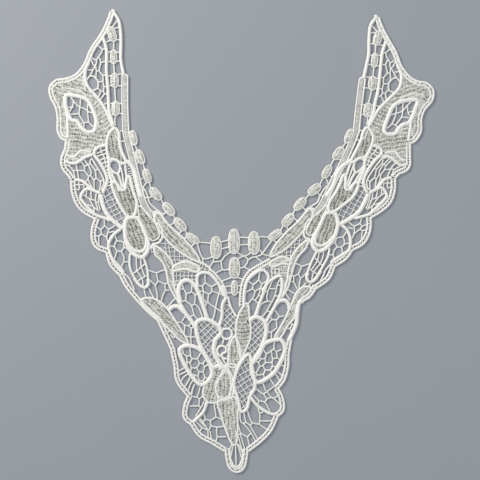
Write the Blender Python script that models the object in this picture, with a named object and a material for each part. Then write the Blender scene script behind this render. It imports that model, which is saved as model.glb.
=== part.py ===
"""Lace collar: a V-neck collar of guipure lace, lying flat, face up.

The lace is laid out on a draft ruled in squares, `across` from the left and `down` from the
shoulder tips.  Cords, leaves, nets and beads are tables of draft points; each is turned into
flat shapes, the shapes are merged into one plan, and the plan is raised from a flat underside,
one height for each kind of stitching.  Fine seams part the plan into its pieces.
"""
import math
import random
from collections import defaultdict

import bmesh
import bpy
from mathutils import Vector
from mathutils.geometry import delaunay_2d_cdt

# ---------------------------------------------------------------- driving sizes, in metres
COLLAR_LENGTH = 0.361          # shoulder tips to the point of the V
DRAFT_LENGTH = 464.0           # the same length in draft squares
SQUARE = COLLAR_LENGTH / DRAFT_LENGTH
DRAFT_MIDDLE = (241.5, 241.2)  # draft point over the origin: across, down

SEAM_GAP = 0.0003              # clearance between neighbouring pieces
LEAST_GAP_WIDTH = 0.0040       # mean width of the narrowest gap that is cut through
OUTLINE_TOLERANCE = 0.00030    # how far a simplified outline may leave the smooth one
SEAM_TOLERANCE = 0.00003       # the same along a seam
CURVE_STEP = 3.5               # squares between the points of a curve
MERGE_DISTANCE = 0.00001       # corners nearer than this become one
DRAW_BACK = 0.00015            # how far patches that meet only at a corner are parted
SPECK_AREA = 0.0000016         # a smaller patch of one height joins its neighbour, in square metres
LOOKUP_CELL = 0.002            # side of the cells in which shapes are looked up
CROWN_SHARE = 0.62             # crown of a bead against its foot
LINK_INSET = 0.08              # where a bead's side bars leave it, as a share of its length from the end
NET_UNEVENNESS = 0.16          # how far a net corner strays, as a share of the pitch
OVAL_POWER = 0.85              # 1 is an ellipse, less is boxier

# Height of each kind of stitching above the flat underside.
HEIGHT = {
    "web": 0.0012,       # fine even net, and gaps too narrow to cut
    "bar": 0.0012,       # the thin bars of the open nets
    "fill": 0.0015,      # close stitched cloth inside leaves and petals
    "cord": 0.0021,      # satin cords
    "bead_rim": 0.0018,  # padded satin beads: foot and crown
    "bead_top": 0.0026,
}
# Which shape wins where several lie on one another.  A gap is open between its bars, a hole has none.
RANK = {"web": 1, "fill": 2, "gap": 3, "bar": 4, "hole": 5, "cord": 6, "bead_rim": 7, "bead_top": 8,
        "seam": 9}

LEAST_MITRE = 0.5              # cosine of half the sharpest bend that a band still mitres
ROUND_CORNERS = 8              # corners of a round knob or hole
BEAD_PARTS = [("bead_rim", 1.0, 10), ("bead_top", CROWN_SHARE, 8)]   # kind, size of its oval, corners
CLIP_HALVINGS = 12             # how finely the end of a bar is brought to an outline

# Where in a triangle its kind is looked up: share of each corner in sixths, and its say.
SAMPLES = [(2, 2, 2, 3), (4, 1, 1, 1), (1, 4, 1, 1), (1, 1, 4, 1)]

# How a matching mark's pull fades with distance, in draft squares.
MARK_SOFTNESS = 30.0
MARK_FALL = -1.6

# In draft squares: how far a seam runs past its ends, and the width of each kind of cord.
SEAM_OVERRUN = 1.5
EDGE, RAIL, HEAVY, CORD, FINE, BAR = 5.4, 7.4, 4.8, 3.7, 2.8, 1.6
DOWN = Vector((0.0, 1.0))

# Corners of a frame well clear of the lace, in metres.
FRAME = [Vector((x * COLLAR_LENGTH, y * COLLAR_LENGTH)) for x in (-1, 1) for y in (-1, 1)]

# ---------------------------------------------------------------- the draft: left wing
# name, width, points along the cord
WING_CORDS = [
    ("edge_tip", EDGE, [(112.5, 12), (109, 22), (102, 36), (92.5, 50), (86, 65), (77, 76), (66, 81)]),
    ("edge_lobe", EDGE, [(66, 81), (57, 82), (51.5, 88), (52.5, 97), (57.5, 107), (59.5, 118),
                         (59.5, 130), (62.5, 137), (68, 139)]),
    ("edge_shoulder", EDGE, [(68, 139), (67, 149), (63.5, 157), (63.5, 166), (66.5, 174), (73, 180)]),
    ("edge_fan", EDGE, [(73, 180), (74, 192), (78, 203), (85, 211), (97.5, 218)]),
    ("edge_scallop", EDGE, [(97.5, 218), (94, 229), (94, 240), (98.5, 247), (108, 251)]),
    ("edge_waist", EDGE, [(108, 251), (112, 264), (122, 275)]),
    ("edge_side", EDGE, [(122, 275), (127.5, 286), (139, 300), (150, 311.5), (160, 320)]),
    ("neck_tip", CORD, [(113.5, 12), (119, 21), (121, 35), (121, 50), (121, 60), (124, 76)]),
    ("rail", RAIL, [(125, 76), (125, 105), (126.5, 135), (132, 157), (137.5, 180), (144, 204), (153, 217)]),
    ("divider", CORD, [(103, 37), (107.5, 50), (106.5, 70), (109, 88), (109, 105), (114, 126)]),
    ("arm", CORD, [(85, 72), (87.5, 86), (96, 96), (104, 107), (110, 120), (114, 128)]),
    ("lobe_hem", HEAVY, [(65, 161), (74, 161), (83, 156), (91, 153)]),
    ("fan_inner", HEAVY, [(90, 153), (97, 162), (103, 174), (106, 185), (101, 194)]),
    ("fan_band", CORD, [(73, 180), (81, 181.5), (90, 188), (101, 194)]),
    ("fan_loop", CORD, [(92, 189), (83, 190), (80.5, 197), (85, 205), (94, 212.5), (106, 218)]),
    ("big_arc", HEAVY, [(101, 194), (104, 207), (112, 219), (124, 229.5)]),
    ("scallop_inner", CORD, [(121, 229), (113, 237), (110, 248), (114, 260), (122, 272)]),
    ("petal_link", CORD, [(122, 229), (127, 224), (131, 218)]),
]

# name, kind inside, width of the cord round it, points of the closed outline
WING_SHAPES = [
    ("eye", "gap", CORD, [(68.5, 98), (79, 99), (90, 108), (94.5, 121), (89, 129.5), (81, 125),
                           (73, 118), (68.5, 107)]),
    ("petal_1", "fill", CORD, [(114.5, 128), (108, 137), (107, 149), (111, 160), (118, 162), (126, 161),
                               (122.5, 149), (120, 137)]),
    ("petal_2", "fill", CORD, [(113, 184), (118, 199), (125, 212), (131, 218), (136, 211), (135.5, 195),
                               (130, 177), (124, 189)]),
    ("petal_3", "fill", HEAVY, [(131, 219), (126, 232), (127, 243), (133, 254), (142, 257), (149, 250),
                                (146, 236), (138, 221)]),
    ("leaf_a", "fill", FINE, [(154, 213), (158, 228), (169, 242), (183, 254), (199, 261.5), (195, 252),
                              (184, 239), (170, 226), (160, 214)]),
    ("leaf_b", "fill", FINE, [(154, 245), (163, 262), (167, 280), (172, 294), (181, 304), (175, 287),
                              (173.5, 268), (167, 252), (158, 243)]),
    ("loop_c", "gap", HEAVY, [(131, 256), (129.5, 266), (134, 277), (142, 286), (148.5, 283), (149, 272),
                               (143, 258)]),
    ("crescent", "fill", FINE, [(172.5, 271), (176, 265), (187, 262), (199, 267), (197, 272), (185, 269)]),
]

# name, kind, points of the outline, which lies under the cords round it
WING_PANELS = [
    ("lobe", "fill", [(66, 81), (80, 78), (87, 84), (96, 96), (104, 107), (114, 128), (108, 138),
                      (106, 150), (92, 154), (83, 156), (74, 161), (65, 161), (67, 140), (60, 133),
                      (59, 118), (57, 106), (52, 92), (56, 82)]),
    ("tip", "fill", [(112.5, 12), (119, 21), (117, 27), (111, 27), (106, 29)]),
    ("tip_corner", "fill", [(103, 35), (107, 43), (107, 50), (104, 44), (99, 41)]),
    ("stalk", "fill", [(110, 160), (127, 161), (131, 177), (124, 190), (113, 185), (108, 172)]),
    ("rail_side", "web", [(119, 130), (127, 134), (133, 158), (139, 182), (146, 206), (150, 215),
                          (157, 240), (150, 247), (138, 221), (131, 176), (126, 160)]),
    ("fan_mesh", "web", [(92, 154), (99, 149), (107, 149), (109, 160), (108, 172), (113, 185),
                         (106, 189), (102, 171)]),
    ("band_mesh", "web", [(73, 181), (82, 182), (91, 189), (83, 190), (80, 198), (75, 192)]),
    ("leaf_mesh", "web", [(157, 238), (169, 243), (183, 255), (199, 262), (186, 262), (174, 269),
                          (166, 252)]),
    ("crescent_mesh", "web", [(173, 271), (185, 269), (198, 271), (198, 286), (190, 281), (182, 282),
                              (178, 290), (174, 283)]),
    ("bud_foot", "web", [(150, 247), (158, 243), (160, 256), (152, 254)]),
]

# name, kind, width of the bar round it, across, down, radius across, radius down
WING_ROUNDS = [
    ("knob", "cord", 0, 113.5, 12, 3, 3),
    ("stalk_eye", "hole", 0, 115, 167.5, 4.2, 5.6),
]

# name, pitch in squares, turn in degrees, stretch along that turn, points of the outline
WING_NETS = [
    ("tip_net", 6.6, 80, 1.7, [(101, 40), (107.5, 50), (106.5, 70), (109, 88), (109, 105), (113, 126),
                               (104, 107), (96, 96), (87.5, 86), (86, 72), (92.5, 51)]),
    ("shoulder_net", 6.2, 55, 2.0, [(66, 160), (74, 161), (83, 156), (91, 153), (97, 162), (103, 174),
                                    (106, 185), (101, 194), (90, 188), (81, 181), (73, 180), (64, 166)]),
    ("fan_net", 6.2, 100, 1.6, [(101, 194), (91, 189), (83, 190), (80.5, 197), (85, 205), (94, 212.5),
                                (106, 218), (111, 218), (104, 207)]),
    ("scallop_net", 8.6, 80, 1.2, [(98, 219), (111, 219), (121, 229), (113, 237), (110, 250), (99, 246),
                                   (94, 238), (95, 228)]),
    ("waist_net", 9.4, 30, 1.3, [(122, 229), (127, 243), (132, 254), (129.5, 266), (134, 277), (142, 287),
                                 (150, 297), (141, 300), (128, 286), (122, 273), (114, 260), (110, 248),
                                 (113, 237)]),
    ("side_net", 10.0, 60, 1.3, [(149, 255), (158, 254), (163, 262), (167, 280), (172, 294), (181, 304),
                                 (170, 309), (164, 305), (150, 297), (142, 287), (149, 280), (149, 270),
                                 (143, 258)]),
]
# name of the shape that the net fills, pitch, turn, stretch
WING_SHAPE_NETS = [
    ("eye", 6.6, 50, 1.6),
    ("loop_c", 6.6, 75, 2.0),
]
# name, spacing in squares, turn of the bars in degrees, points of the outline: straight bars
WING_LADDERS = [
    ("big_leaf", 6.8, 62, [(106, 188), (113, 185), (118, 199), (125, 212), (130, 219), (124, 229),
                           (112, 219), (104, 207), (101, 194)]),
    ("big_leaf", 6.8, 152, [(106, 188), (113, 185), (118, 199), (125, 212), (130, 219), (124, 229),
                            (112, 219), (104, 207), (101, 194)]),
]

# Points along each bar that bridges two nets.
WING_BARS = [
    [(142, 286), (151, 300)],
]

# across, down, width, length, lean in degrees: padded beads inside the tip and along the neck
TIP_BEADS = [
    (112.5, 34, 8, 16.5, 8),
    (114, 57.5, 7.8, 14.5, 0),
    (115, 80, 8.5, 14.5, 0),
    (116, 108.5, 8.5, 15, 0),
]
NECK_BEADS = [
    (133.5, 138, 8, 16, 12),
    (140.3, 157, 9, 16, 22),
    (147.2, 176, 8.5, 15.5, 18),
    (155.8, 194, 9.5, 16, 42),
    (168.8, 209.2, 9.5, 16.5, 40),
    (180.2, 224.5, 9.5, 16.5, 42),
    (192.8, 238.6, 8.5, 16, 55),
]

# ---------------------------------------------------------------- the draft: bib
BIB_CORDS = [
    ("edge_bib_left", EDGE, [(160, 320), (166.5, 335), (173.5, 350), (176, 365), (178.5, 381), (190, 396)]),
    ("edge_curl_left", EDGE, [(190, 396), (186, 406), (185.5, 417), (193, 424)]),
    ("edge_foot_left", EDGE, [(193, 424), (200, 434.5), (213, 442), (226, 450)]),
    ("edge_pendant", EDGE, [(227, 448), (228.5, 460), (231, 467), (236.5, 470.3), (242, 467.5), (244.5, 460),
                            (246, 448)]),
    ("edge_foot_right", EDGE, [(247, 450), (260, 440), (270, 429), (276, 416)]),
    ("edge_curl_right", EDGE, [(276, 416), (282, 409), (281, 398), (276, 388)]),
    ("edge_bib_right", EDGE, [(313, 286), (309, 290.5), (303, 295.5), (299, 302), (297.5, 314),
                              (297, 324), (293, 332), (288.5, 341), (287, 354), (286.5, 366),
                              (283, 379), (276, 388)]),
    ("arch_ring_left", HEAVY, [(167, 312), (172, 307.5), (179, 307), (186, 313)]),
    ("arch_ring_right", HEAVY, [(275, 305), (279, 301), (285, 300.5), (291, 305)]),
    ("petal_d", CORD, [(181, 304), (178.5, 290), (182.5, 281.5), (190, 281), (197, 289), (203, 305),
                       (207.5, 319)]),
    ("petal_d_side", CORD, [(180, 302), (186, 313), (196, 323)]),
    ("arch_left_outer", CORD, [(199, 261), (213, 270), (223, 284), (228, 297)]),
    ("arch_left_inner", CORD, [(197.5, 288), (197.5, 276), (207, 272.5), (217, 280), (227, 297)]),
    ("arch_right_outer", CORD, [(271, 256), (256, 265), (246, 276), (241, 290), (240, 307)]),
    ("arch_right_inner", CORD, [(268, 268), (256, 270.5), (248, 279), (244.5, 290), (243.5, 306)]),
    ("arch_right_low", CORD, [(256, 271), (264, 270.5), (268.5, 277), (265, 289), (260, 302), (255, 317)]),
    ("petal_right_top", CORD, [(262, 292), (267, 284), (272, 279.5), (278, 276), (284, 278)]),
    ("petal_right_side", CORD, [(282, 296), (274, 309), (265.5, 322)]),
    ("neck_left", CORD, [(227.5, 296), (222.5, 305), (222, 316), (219, 327)]),
    ("neck_right", FINE, [(228, 296), (230.5, 306), (236.5, 317)]),
    ("lower_left", CORD, [(207, 402), (203, 412), (193, 422)]),
    ("lower_right", CORD, [(250, 396), (257, 405), (267, 412), (276, 415)]),
    ("swirl_left", FINE, [(216, 341), (219, 351), (226, 357), (230, 366)]),
    ("leaf_link", FINE, [(236, 366), (243, 358), (249, 353)]),
]
BIB_SHAPES = [
    ("leaf_e_left", "fill", CORD, [(141, 301), (151, 298), (164, 305), (175, 320), (188, 342), (180, 340),
                                   (166, 326), (152, 313)]),
    ("leaf_e_right", "fill", CORD, [(311, 288), (301, 289), (294, 298), (290, 308), (284, 321), (275, 337),
                                    (280, 338), (288, 325), (296, 314), (299, 301), (306, 293)]),
    ("petal_h", "web", HEAVY, [(196.5, 323), (207, 319.5), (218, 326), (221, 333), (215, 341), (214, 352),
                               (219, 362), (225, 372), (214, 368), (205, 354), (198.5, 340)]),
    ("petal_i", "gap", HEAVY, [(179.5, 351), (187, 345.5), (200, 349.5), (208, 360), (212, 373),
                                (207, 382), (201, 384.5), (195, 380), (186, 367)]),
    ("petal_h_right", "web", HEAVY, [(251, 318.5), (258, 317), (265.5, 322), (266, 333), (262, 346),
                                     (256, 357), (250, 365), (247, 354), (250, 337)]),
    ("petal_i_right", "gap", HEAVY, [(264, 344.5), (272, 340.5), (281, 340), (285, 349), (280.5, 362),
                                      (272, 374.5), (257, 382), (251.5, 366), (258.5, 356)]),
    ("ring", "hole", FINE, [(227.3, 327.5), (223.3, 329.5), (222, 333), (223.3, 336.5), (227.3, 338.5),
                            (231, 336.5), (232.3, 333), (231, 329.5)]),
    ("leaf_f", "fill", FINE, [(243.5, 304), (238.5, 314), (236.5, 328), (237, 341), (242, 357), (247.5, 345),
                              (250, 330), (249, 313)]),
    ("leaf_g", "fill", FINE, [(236, 337), (231, 348), (229, 365), (236, 367), (239, 350)]),
    ("bud", "fill", CORD, [(226, 367), (218, 381), (216, 392), (223, 398.5), (230, 393), (232.5, 379)]),
    ("leaf_k", "fill", FINE, [(214, 368), (205.5, 383), (203.5, 395), (209, 402), (218, 400), (216.5, 388),
                              (220, 374)]),
    ("leaf_l", "fill", FINE, [(223, 402), (224.5, 424), (231, 443), (238, 445), (237, 427), (238, 410),
                              (235.5, 398), (229, 398)]),
    ("low_petal", "web", CORD, [(248.5, 354), (239, 366), (234, 383), (238, 399), (241, 411), (247, 408),
                                (250, 396), (255, 386), (252, 366)]),
]
BIB_PANELS = [
    ("neck_mesh", "web", [(228, 297), (231, 306), (237, 317), (237, 338), (228, 360), (219, 352),
                          (216, 341), (222, 330), (222, 306)]),
    ("stem_web", "web", [(214, 352), (228, 358), (236, 366), (234, 384), (226, 372), (218, 362)]),
    ("bud_web", "web", [(209, 401), (223, 396), (236, 388), (239, 402), (224, 404), (221, 414), (214, 404)]),
    ("pendant_tip", "fill", [(229, 462), (236, 465), (243, 462), (242, 469), (230, 469)]),
    ("arch_left_web", "web", [(199, 262), (213, 270), (223, 284), (228, 297), (217, 281), (207, 273),
                              (198, 276)]),
    ("arch_right_web", "web", [(271, 256), (256, 265), (246, 276), (241, 290), (240, 307), (244, 306),
                               (247, 283), (256, 271), (268, 268)]),
]
BIB_ROUNDS = [
    ("ring_hole_left", "hole", BAR, 178, 316.5, 5.4, 5.4),
    ("ring_hole_right", "hole", BAR, 281, 309.5, 5.4, 5.8),
]
BIB_NETS = [
    ("ring_left_net", 8.0, 60, 1.3, [(180, 306), (188, 314), (196, 323), (198, 340), (200, 349), (188, 343),
                                     (175, 320), (167, 310)]),
    ("petal_d_net", 8.0, 70, 1.5, [(181, 304), (178.5, 290), (182.5, 281.5), (190, 281), (197, 289),
                                   (203, 305), (207.5, 319), (196, 323), (186, 313)]),
    ("arch_left_net", 8.2, 60, 1.4, [(197, 286), (198, 276), (207, 272.5), (217, 280), (227, 297),
                                     (222, 312), (219, 327), (207.5, 319), (203, 305)]),
    ("arch_right_net", 8.0, 110, 1.4, [(244.5, 290), (248, 279), (256, 270.5), (264, 270.5), (268.5, 277),
                                       (265, 289), (260, 302), (255, 317), (249, 312), (244, 306)]),
    ("side_right_net", 8.2, 110, 1.5, [(267, 284), (272, 279.5), (278, 276), (284, 278), (283, 293),
                                       (274, 309), (265.5, 322), (255, 317), (260, 302)]),
    ("band_right_net", 8.0, 60, 1.2, [(293, 318), (298, 316), (297, 324), (293, 332), (288.5, 341),
                                      (284, 341), (276, 339), (282, 334)]),
    ("ring_right_net", 8.6, 110, 1.3, [(282, 296), (290, 305), (287, 315), (275, 338), (264, 344),
                                       (266, 322), (274, 309)]),
    ("curl_left_net", 8.8, 20, 1.2, [(191, 396), (205, 385), (205, 396), (207, 402), (203, 412), (193, 422),
                                     (185.5, 414), (187, 403)]),
    ("curl_right_net", 8.4, 160, 1.2, [(257, 382), (268, 382), (276, 388), (281, 400), (276, 415),
                                       (257, 405), (250, 396), (255, 387)]),
    ("foot_left_net", 9.0, 60, 1.4, [(203, 412), (208, 402), (219, 400), (223, 402), (224.5, 424),
                                     (231, 443), (236, 449), (226, 450), (213, 442), (200, 434.5),
                                     (194, 423)]),
    ("foot_right_net", 9.2, 115, 1.4, [(248, 402), (257, 405), (276, 415), (270, 429), (260, 440),
                                       (247, 450), (238, 446), (237, 427), (240, 412)]),
]
BIB_SHAPE_NETS = [
    ("petal_i", 7.6, 20, 1.15),
    ("petal_i_right", 7.6, 160, 1.15),
]
BIB_LADDERS = [
    ("ladder_left", 6.0, -50, [(175, 350), (179.5, 351), (186, 367), (195, 380), (206, 384), (190, 396),
                              (179, 381), (176, 365)]),
    ("ladder_right", 6.0, 50, [(285, 349), (287, 350), (286.5, 366), (283, 380), (276, 388), (258, 383),
                               (272, 374.5), (280.5, 362)]),
    ("pendant_fan", 4.8, 85, [(227, 449), (246, 449), (243, 463), (229, 463)]),
]
CENTRE_BEADS = [
    (216, 247.5, 12, 23, 0),
    (234, 241.5, 12.5, 26, 0),
    (254, 243, 12.5, 24, 0),
    (234.5, 268, 12, 22, 0),
    (234.5, 288, 7.5, 16, 0),
]
# Points along each of the bars that tie the middle beads to one another and to the arches.
CENTRE_BARS = [
    [(198, 242), (212, 243.5)],
    [(219, 242.5), (231, 239.5)],
    [(219, 249.5), (231, 246.5)],
    [(237, 237), (251, 238)],
    [(237, 245), (251, 244.5)],
    [(257, 236.5), (272, 237.5)],
    [(197, 243), (203, 258), (213, 257)],
    [(203, 258), (203, 265)],
    [(214, 257), (213, 262), (209, 268)],
    [(213, 262), (221, 261), (225, 256), (234, 250)],
    [(221, 261), (223, 269.5), (231, 269)],
    [(223, 269.5), (216, 273)],
    [(234, 250), (244, 256), (252, 252)],
    [(244, 256), (235, 260)],
    [(244, 256), (248, 260), (244, 267), (236, 268)],
    [(244, 267), (250, 270)],
    [(248, 260), (255, 257), (262, 262)],
    [(255, 257), (262, 254), (258, 248)],
    [(262, 254), (269, 256)],
    [(262, 254), (273, 239)],
    [(222, 281), (233, 277)],
    [(236, 277), (245, 280)],
    [(225, 286.5), (243, 285.5)],
    [(228, 293), (241, 292.5)],
]

# ---------------------------------------------------------------- the right wing
# Marks where the two wings match: across, down on the left, then across, down on the right.
MATCHING_MARKS = [
    (113, 9, 376.5, 14.5),
    (121, 40, 369, 44),
    (125, 77, 362.5, 80),
    (125, 118, 359.5, 120),
    (132, 157, 345.5, 158),
    (137.5, 180, 334.5, 179),
    (144, 204, 322.5, 204),
    (133.5, 138, 349, 136),
    (140.3, 157, 338.5, 152.5),
    (147.2, 176, 327, 171.5),
    (155.8, 194, 314.5, 189.5),
    (168.8, 209.2, 300, 204),
    (180.2, 224.5, 288, 220),
    (192.8, 238.6, 275, 235),
    (92, 84, 395, 86),
    (50, 90, 433, 93),
    (59, 125, 420, 126),
    (67, 140, 409, 143),
    (94, 124, 388, 130),
    (115, 128, 367, 127),
    (115, 167, 359, 165),
    (63, 163, 408.5, 163),
    (73, 180, 393, 178),
    (98, 219, 368, 218),
    (94, 238, 367, 232),
    (108, 251, 351, 249),
    (113, 184, 357, 185),
    (131, 218, 331, 213),
    (141, 258, 319, 252),
    (200, 261, 270, 256),
    (144, 288, 311, 283),
    (112, 264, 344.5, 257.5),
    (122, 275, 332.5, 265),
    (128, 286, 327, 278),
    (140, 300, 313, 287.5),
    (160, 320, 302, 299),
    (181, 304, 282, 296),
]

# name, points: fine gaps that part the lace into its pieces, along the middle of cords
WING_SEAMS = [
    ("under_tip", [(78, 66), (85, 76), (87.5, 86), (96, 96), (104, 107), (110, 120), (114, 128),
                   (121, 131), (140, 127)]),
    ("under_lobe", [(50, 160), (65, 161), (74, 161), (83, 156), (91, 153), (100, 149), (107, 145),
                    (109, 135), (114, 128)]),
    ("under_shoulder", [(60, 181), (73, 180), (81, 181.5), (90, 188), (101, 194), (104, 207), (112, 219),
                        (122, 228.5), (131, 219), (138, 213), (146, 205), (153, 204), (163, 200)]),
    ("beside_leaves", [(131, 219), (138, 221), (146, 236), (149, 248), (154, 246), (163, 262), (167, 280),
                       (172, 294), (181, 304)]),
    ("beside_bib", [(206, 228), (203, 250), (199.5, 262), (187, 262), (176, 265), (173, 271), (175, 287),
                    (181, 304)]),
]
BIB_SEAMS = [
    ("under_side_left", [(181, 304), (186, 313), (196, 323), (198.5, 340), (200, 349.5), (187, 345.5),
                         (179.5, 351), (165, 352)]),
    ("under_side_right", [(282, 296), (274, 309), (265.5, 322), (266, 333), (263, 345), (272, 340.5),
                          (281, 340), (288, 346), (300, 346)]),
    ("across_bib", [(196, 323), (207, 319.5), (218, 326), (224, 322), (231, 318), (236, 318), (239, 311),
                    (243.5, 304), (247, 306), (251, 318.5), (258, 317), (265.5, 322)]),
]

# name of each piece and one draft point on it; the right-hand ones mirror the left
WING_PIECES = [
    ("tip", (125, 100)),
    ("lobe", (80, 145)),
    ("shoulder", (125, 200)),
    ("flank", (136, 240)),
    ("leaves", (168, 238)),
]
BIB_PIECES = [
    ("bib_upper", (234, 268)),
    ("bib_lower", (226, 385)),
]


# ---------------------------------------------------------------- plane geometry
def mirrored(point):
    """The right-hand twin of a left-hand draft point, eased between the matching marks."""
    across, down = point
    shift = Vector((0.0, 0.0))
    total = 0.0
    for left_across, left_down, right_across, right_down in MATCHING_MARKS:
        weight = ((across - left_across) ** 2 + (down - left_down) ** 2 + MARK_SOFTNESS) ** MARK_FALL
        shift += weight * Vector((right_across + left_across, right_down - left_down))
        total += weight
    shift /= total
    return Vector((shift.x - across, down + shift.y))


def smooth_curve(points, closed=False):
    """Points at an even step along a smooth curve through the given ones."""
    knots = [Vector(point) for point in points]
    count = len(knots)
    spans = count if closed else count - 1
    curve = []
    for i in range(spans):
        p1, p2 = knots[i], knots[(i + 1) % count]
        p0 = knots[i - 1] if closed or i > 0 else 2 * p1 - p2
        p3 = knots[(i + 2) % count] if closed or i + 2 < count else 2 * p2 - p1
        steps = max(1, round((p2 - p1).length / CURVE_STEP))
        for k in range(steps):
            t = k / steps
            curve.append(0.5 * (2 * p1 + (p2 - p0) * t + (2 * p0 - 5 * p1 + 4 * p2 - p3) * t * t
                                + (3 * p1 - p0 - 3 * p2 + p3) * t ** 3))
    if not closed:
        curve.append(knots[-1])
    return curve


def strip(curve, width, closed=False):
    """Four-sided shapes that widen a curve into a band, mitred where they meet."""
    count = len(curve)
    sides = []
    for i, point in enumerate(curve):
        before = curve[i - 1] if closed or i > 0 else 2 * point - curve[i + 1]
        after = curve[(i + 1) % count] if closed or i + 1 < count else 2 * point - curve[i - 1]
        arriving, leaving = (point - before).normalized(), (after - point).normalized()
        along = (arriving + leaving).normalized()
        reach = width / 2 / max(along.dot(arriving), LEAST_MITRE)
        offset = Vector((-along.y, along.x)) * reach
        sides.append((point + offset, point - offset))
    last = count if closed else count - 1
    return [[sides[i][0], sides[i][1], sides[(i + 1) % count][1], sides[(i + 1) % count][0]]
            for i in range(last)]


def oval(centre, radius_aside, radius_along, axis, corners):
    """A closed outline between an ellipse and a box, its longer radius along the axis."""
    aside = Vector((axis.y, -axis.x))
    outline = []
    for k in range(corners):
        angle = 2 * math.pi * (k + 0.5) / corners
        x, y = (math.copysign(abs(way) ** OVAL_POWER, way) for way in (math.cos(angle), math.sin(angle)))
        outline.append(centre + aside * (radius_aside * x) + axis * (radius_along * y))
    return outline


def inside(point, outline):
    """Whether a point lies inside a closed outline."""
    x, y = point
    hit = False
    for (x1, y1), (x2, y2) in zip(outline, outline[1:] + outline[:1]):
        if (y1 > y) != (y2 > y) and x < x1 + (y - y1) * (x2 - x1) / (y2 - y1):
            hit = not hit
    return hit


def clipped_end(start, end, outline):
    """Where the way from an inner start to an outer end crosses the outline."""
    low, high = 0.0, 1.0
    for _ in range(CLIP_HALVINGS):
        middle = (low + high) / 2
        if inside(start.lerp(end, middle), outline):
            low = middle
        else:
            high = middle
    return start.lerp(end, high)


def net_corners(pitch, turn, stretch, outline, seed):
    """Corners of a net of six-sided meshes over an outline, each a little uneven, and their links."""
    chance = random.Random(seed)
    middle = sum(outline, Vector((0, 0))) / len(outline)
    reach = max((point - middle).length for point in outline) + 2 * pitch
    along = Vector((math.cos(math.radians(turn)), math.sin(math.radians(turn))))
    aside = Vector((-along.y, along.x))
    side = pitch / math.sqrt(3)
    rows = int(reach / side) + 2
    places = {}
    for row in range(-rows, rows + 1):
        for column in range(-rows, rows + 1):
            for part in (0, 1):
                u = (column + row / 2 + chance.uniform(-NET_UNEVENNESS, NET_UNEVENNESS)) * pitch
                v = (row * 1.5 + part) * side + chance.uniform(-NET_UNEVENNESS, NET_UNEVENNESS) * pitch
                places[row, column, part] = middle + along * (v * stretch) + aside * u
    links = defaultdict(list)
    for row, column, part in places:
        if part == 1:
            for other in ((row, column, 0), (row + 1, column, 0), (row + 1, column - 1, 0)):
                if other in places:
                    links[row, column, part].append(other)
                    links[other].append((row, column, part))
    return places, links


def net_bars(pitch, turn, stretch, outline, seed):
    """Bars of an open net of six-sided meshes, mitred to one another and cut at the outline."""
    places, links = net_corners(pitch, turn, stretch, outline, seed)
    held = {key for key, place in places.items() if inside(place, outline)}

    def bar_corners(key, other):
        """The two corners of the bar from key to other, at key: the one further round first."""
        here = places[key]
        towards = {k: math.atan2(*(places[k] - here).yx) for k in links[key]}
        around = sorted(towards, key=towards.get)
        at = around.index(other)
        result = []
        for neighbour, sign in ((around[(at + 1) % len(around)], 1), (around[at - 1], -1)):
            half = ((towards[neighbour] - towards[other]) * sign) % (2 * math.pi) / 2
            turned = towards[other] + sign * half
            reach = BAR / 2 / max(math.sin(half), LEAST_MITRE)
            result.append(here + reach * Vector((math.cos(turned), math.sin(turned))))
        return result

    shapes = []
    for key in sorted(held):
        for other in links[key]:
            left, right = bar_corners(key, other)
            if other in held and key < other:
                far_left, far_right = bar_corners(other, key)
                shapes.append([places[key], right, far_left, places[other], far_right, left])
            elif other not in held:
                end = clipped_end(places[key], places[other], outline)
                if (end - places[key]).length > BAR:
                    along = (end - places[key]).normalized()
                    offset = Vector((-along.y, along.x)) * (BAR / 2)
                    shapes.append([places[key], right, end - offset, end + offset, left])
    return shapes


def line_bars(spacing, turn, outline):
    """Straight parallel bars that cross an outline from side to side."""
    along = Vector((math.cos(math.radians(turn)), math.sin(math.radians(turn))))
    aside = Vector((-along.y, along.x))
    offsets = [point.dot(aside) for point in outline]
    shapes = []
    step = math.ceil(min(offsets) / spacing) * spacing
    while step < max(offsets):
        hits = []
        for p1, p2 in zip(outline, outline[1:] + outline[:1]):
            d1, d2 = p1.dot(aside) - step, p2.dot(aside) - step
            if (d1 > 0) != (d2 > 0):
                hits.append(p1.lerp(p2, d1 / (d1 - d2)).dot(along))
        hits.sort()
        for start, end in zip(hits[::2], hits[1::2]):
            if end - start > 2 * BAR:
                shapes += strip([aside * step + along * start, aside * step + along * end], BAR)
        step += spacing
    return shapes


def placed_beads(beads, place):
    """Each bead as centre, axis of unit length, width and length, after place has moved it."""
    placed = []
    for across, down, width, length, lean in beads:
        centre = Vector((across, down))
        arm = Vector((math.sin(math.radians(lean)), math.cos(math.radians(lean)))) * length
        axis = (place(centre + arm) - place(centre - arm)).normalized()
        placed.append((place(centre), axis, width, length))
    return placed


def bead_links(beads, cords):
    """Short bars from each bead to the next one and to the cords beside it."""
    ends = [(centre - axis * (length / 2 - BAR / 2), centre + axis * (length / 2 - BAR / 2))
            for centre, axis, width, length in beads]
    shapes = []
    for (_, tail), (head, _) in zip(ends, ends[1:]):
        shapes += strip([tail, head], BAR)
    for head, tail in ends:
        for end in (head.lerp(tail, LINK_INSET), tail.lerp(head, LINK_INSET)):
            for cord in cords:
                shapes += strip([end, min(cord, key=lambda point: (point - end).length)], BAR)
    return shapes


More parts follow.
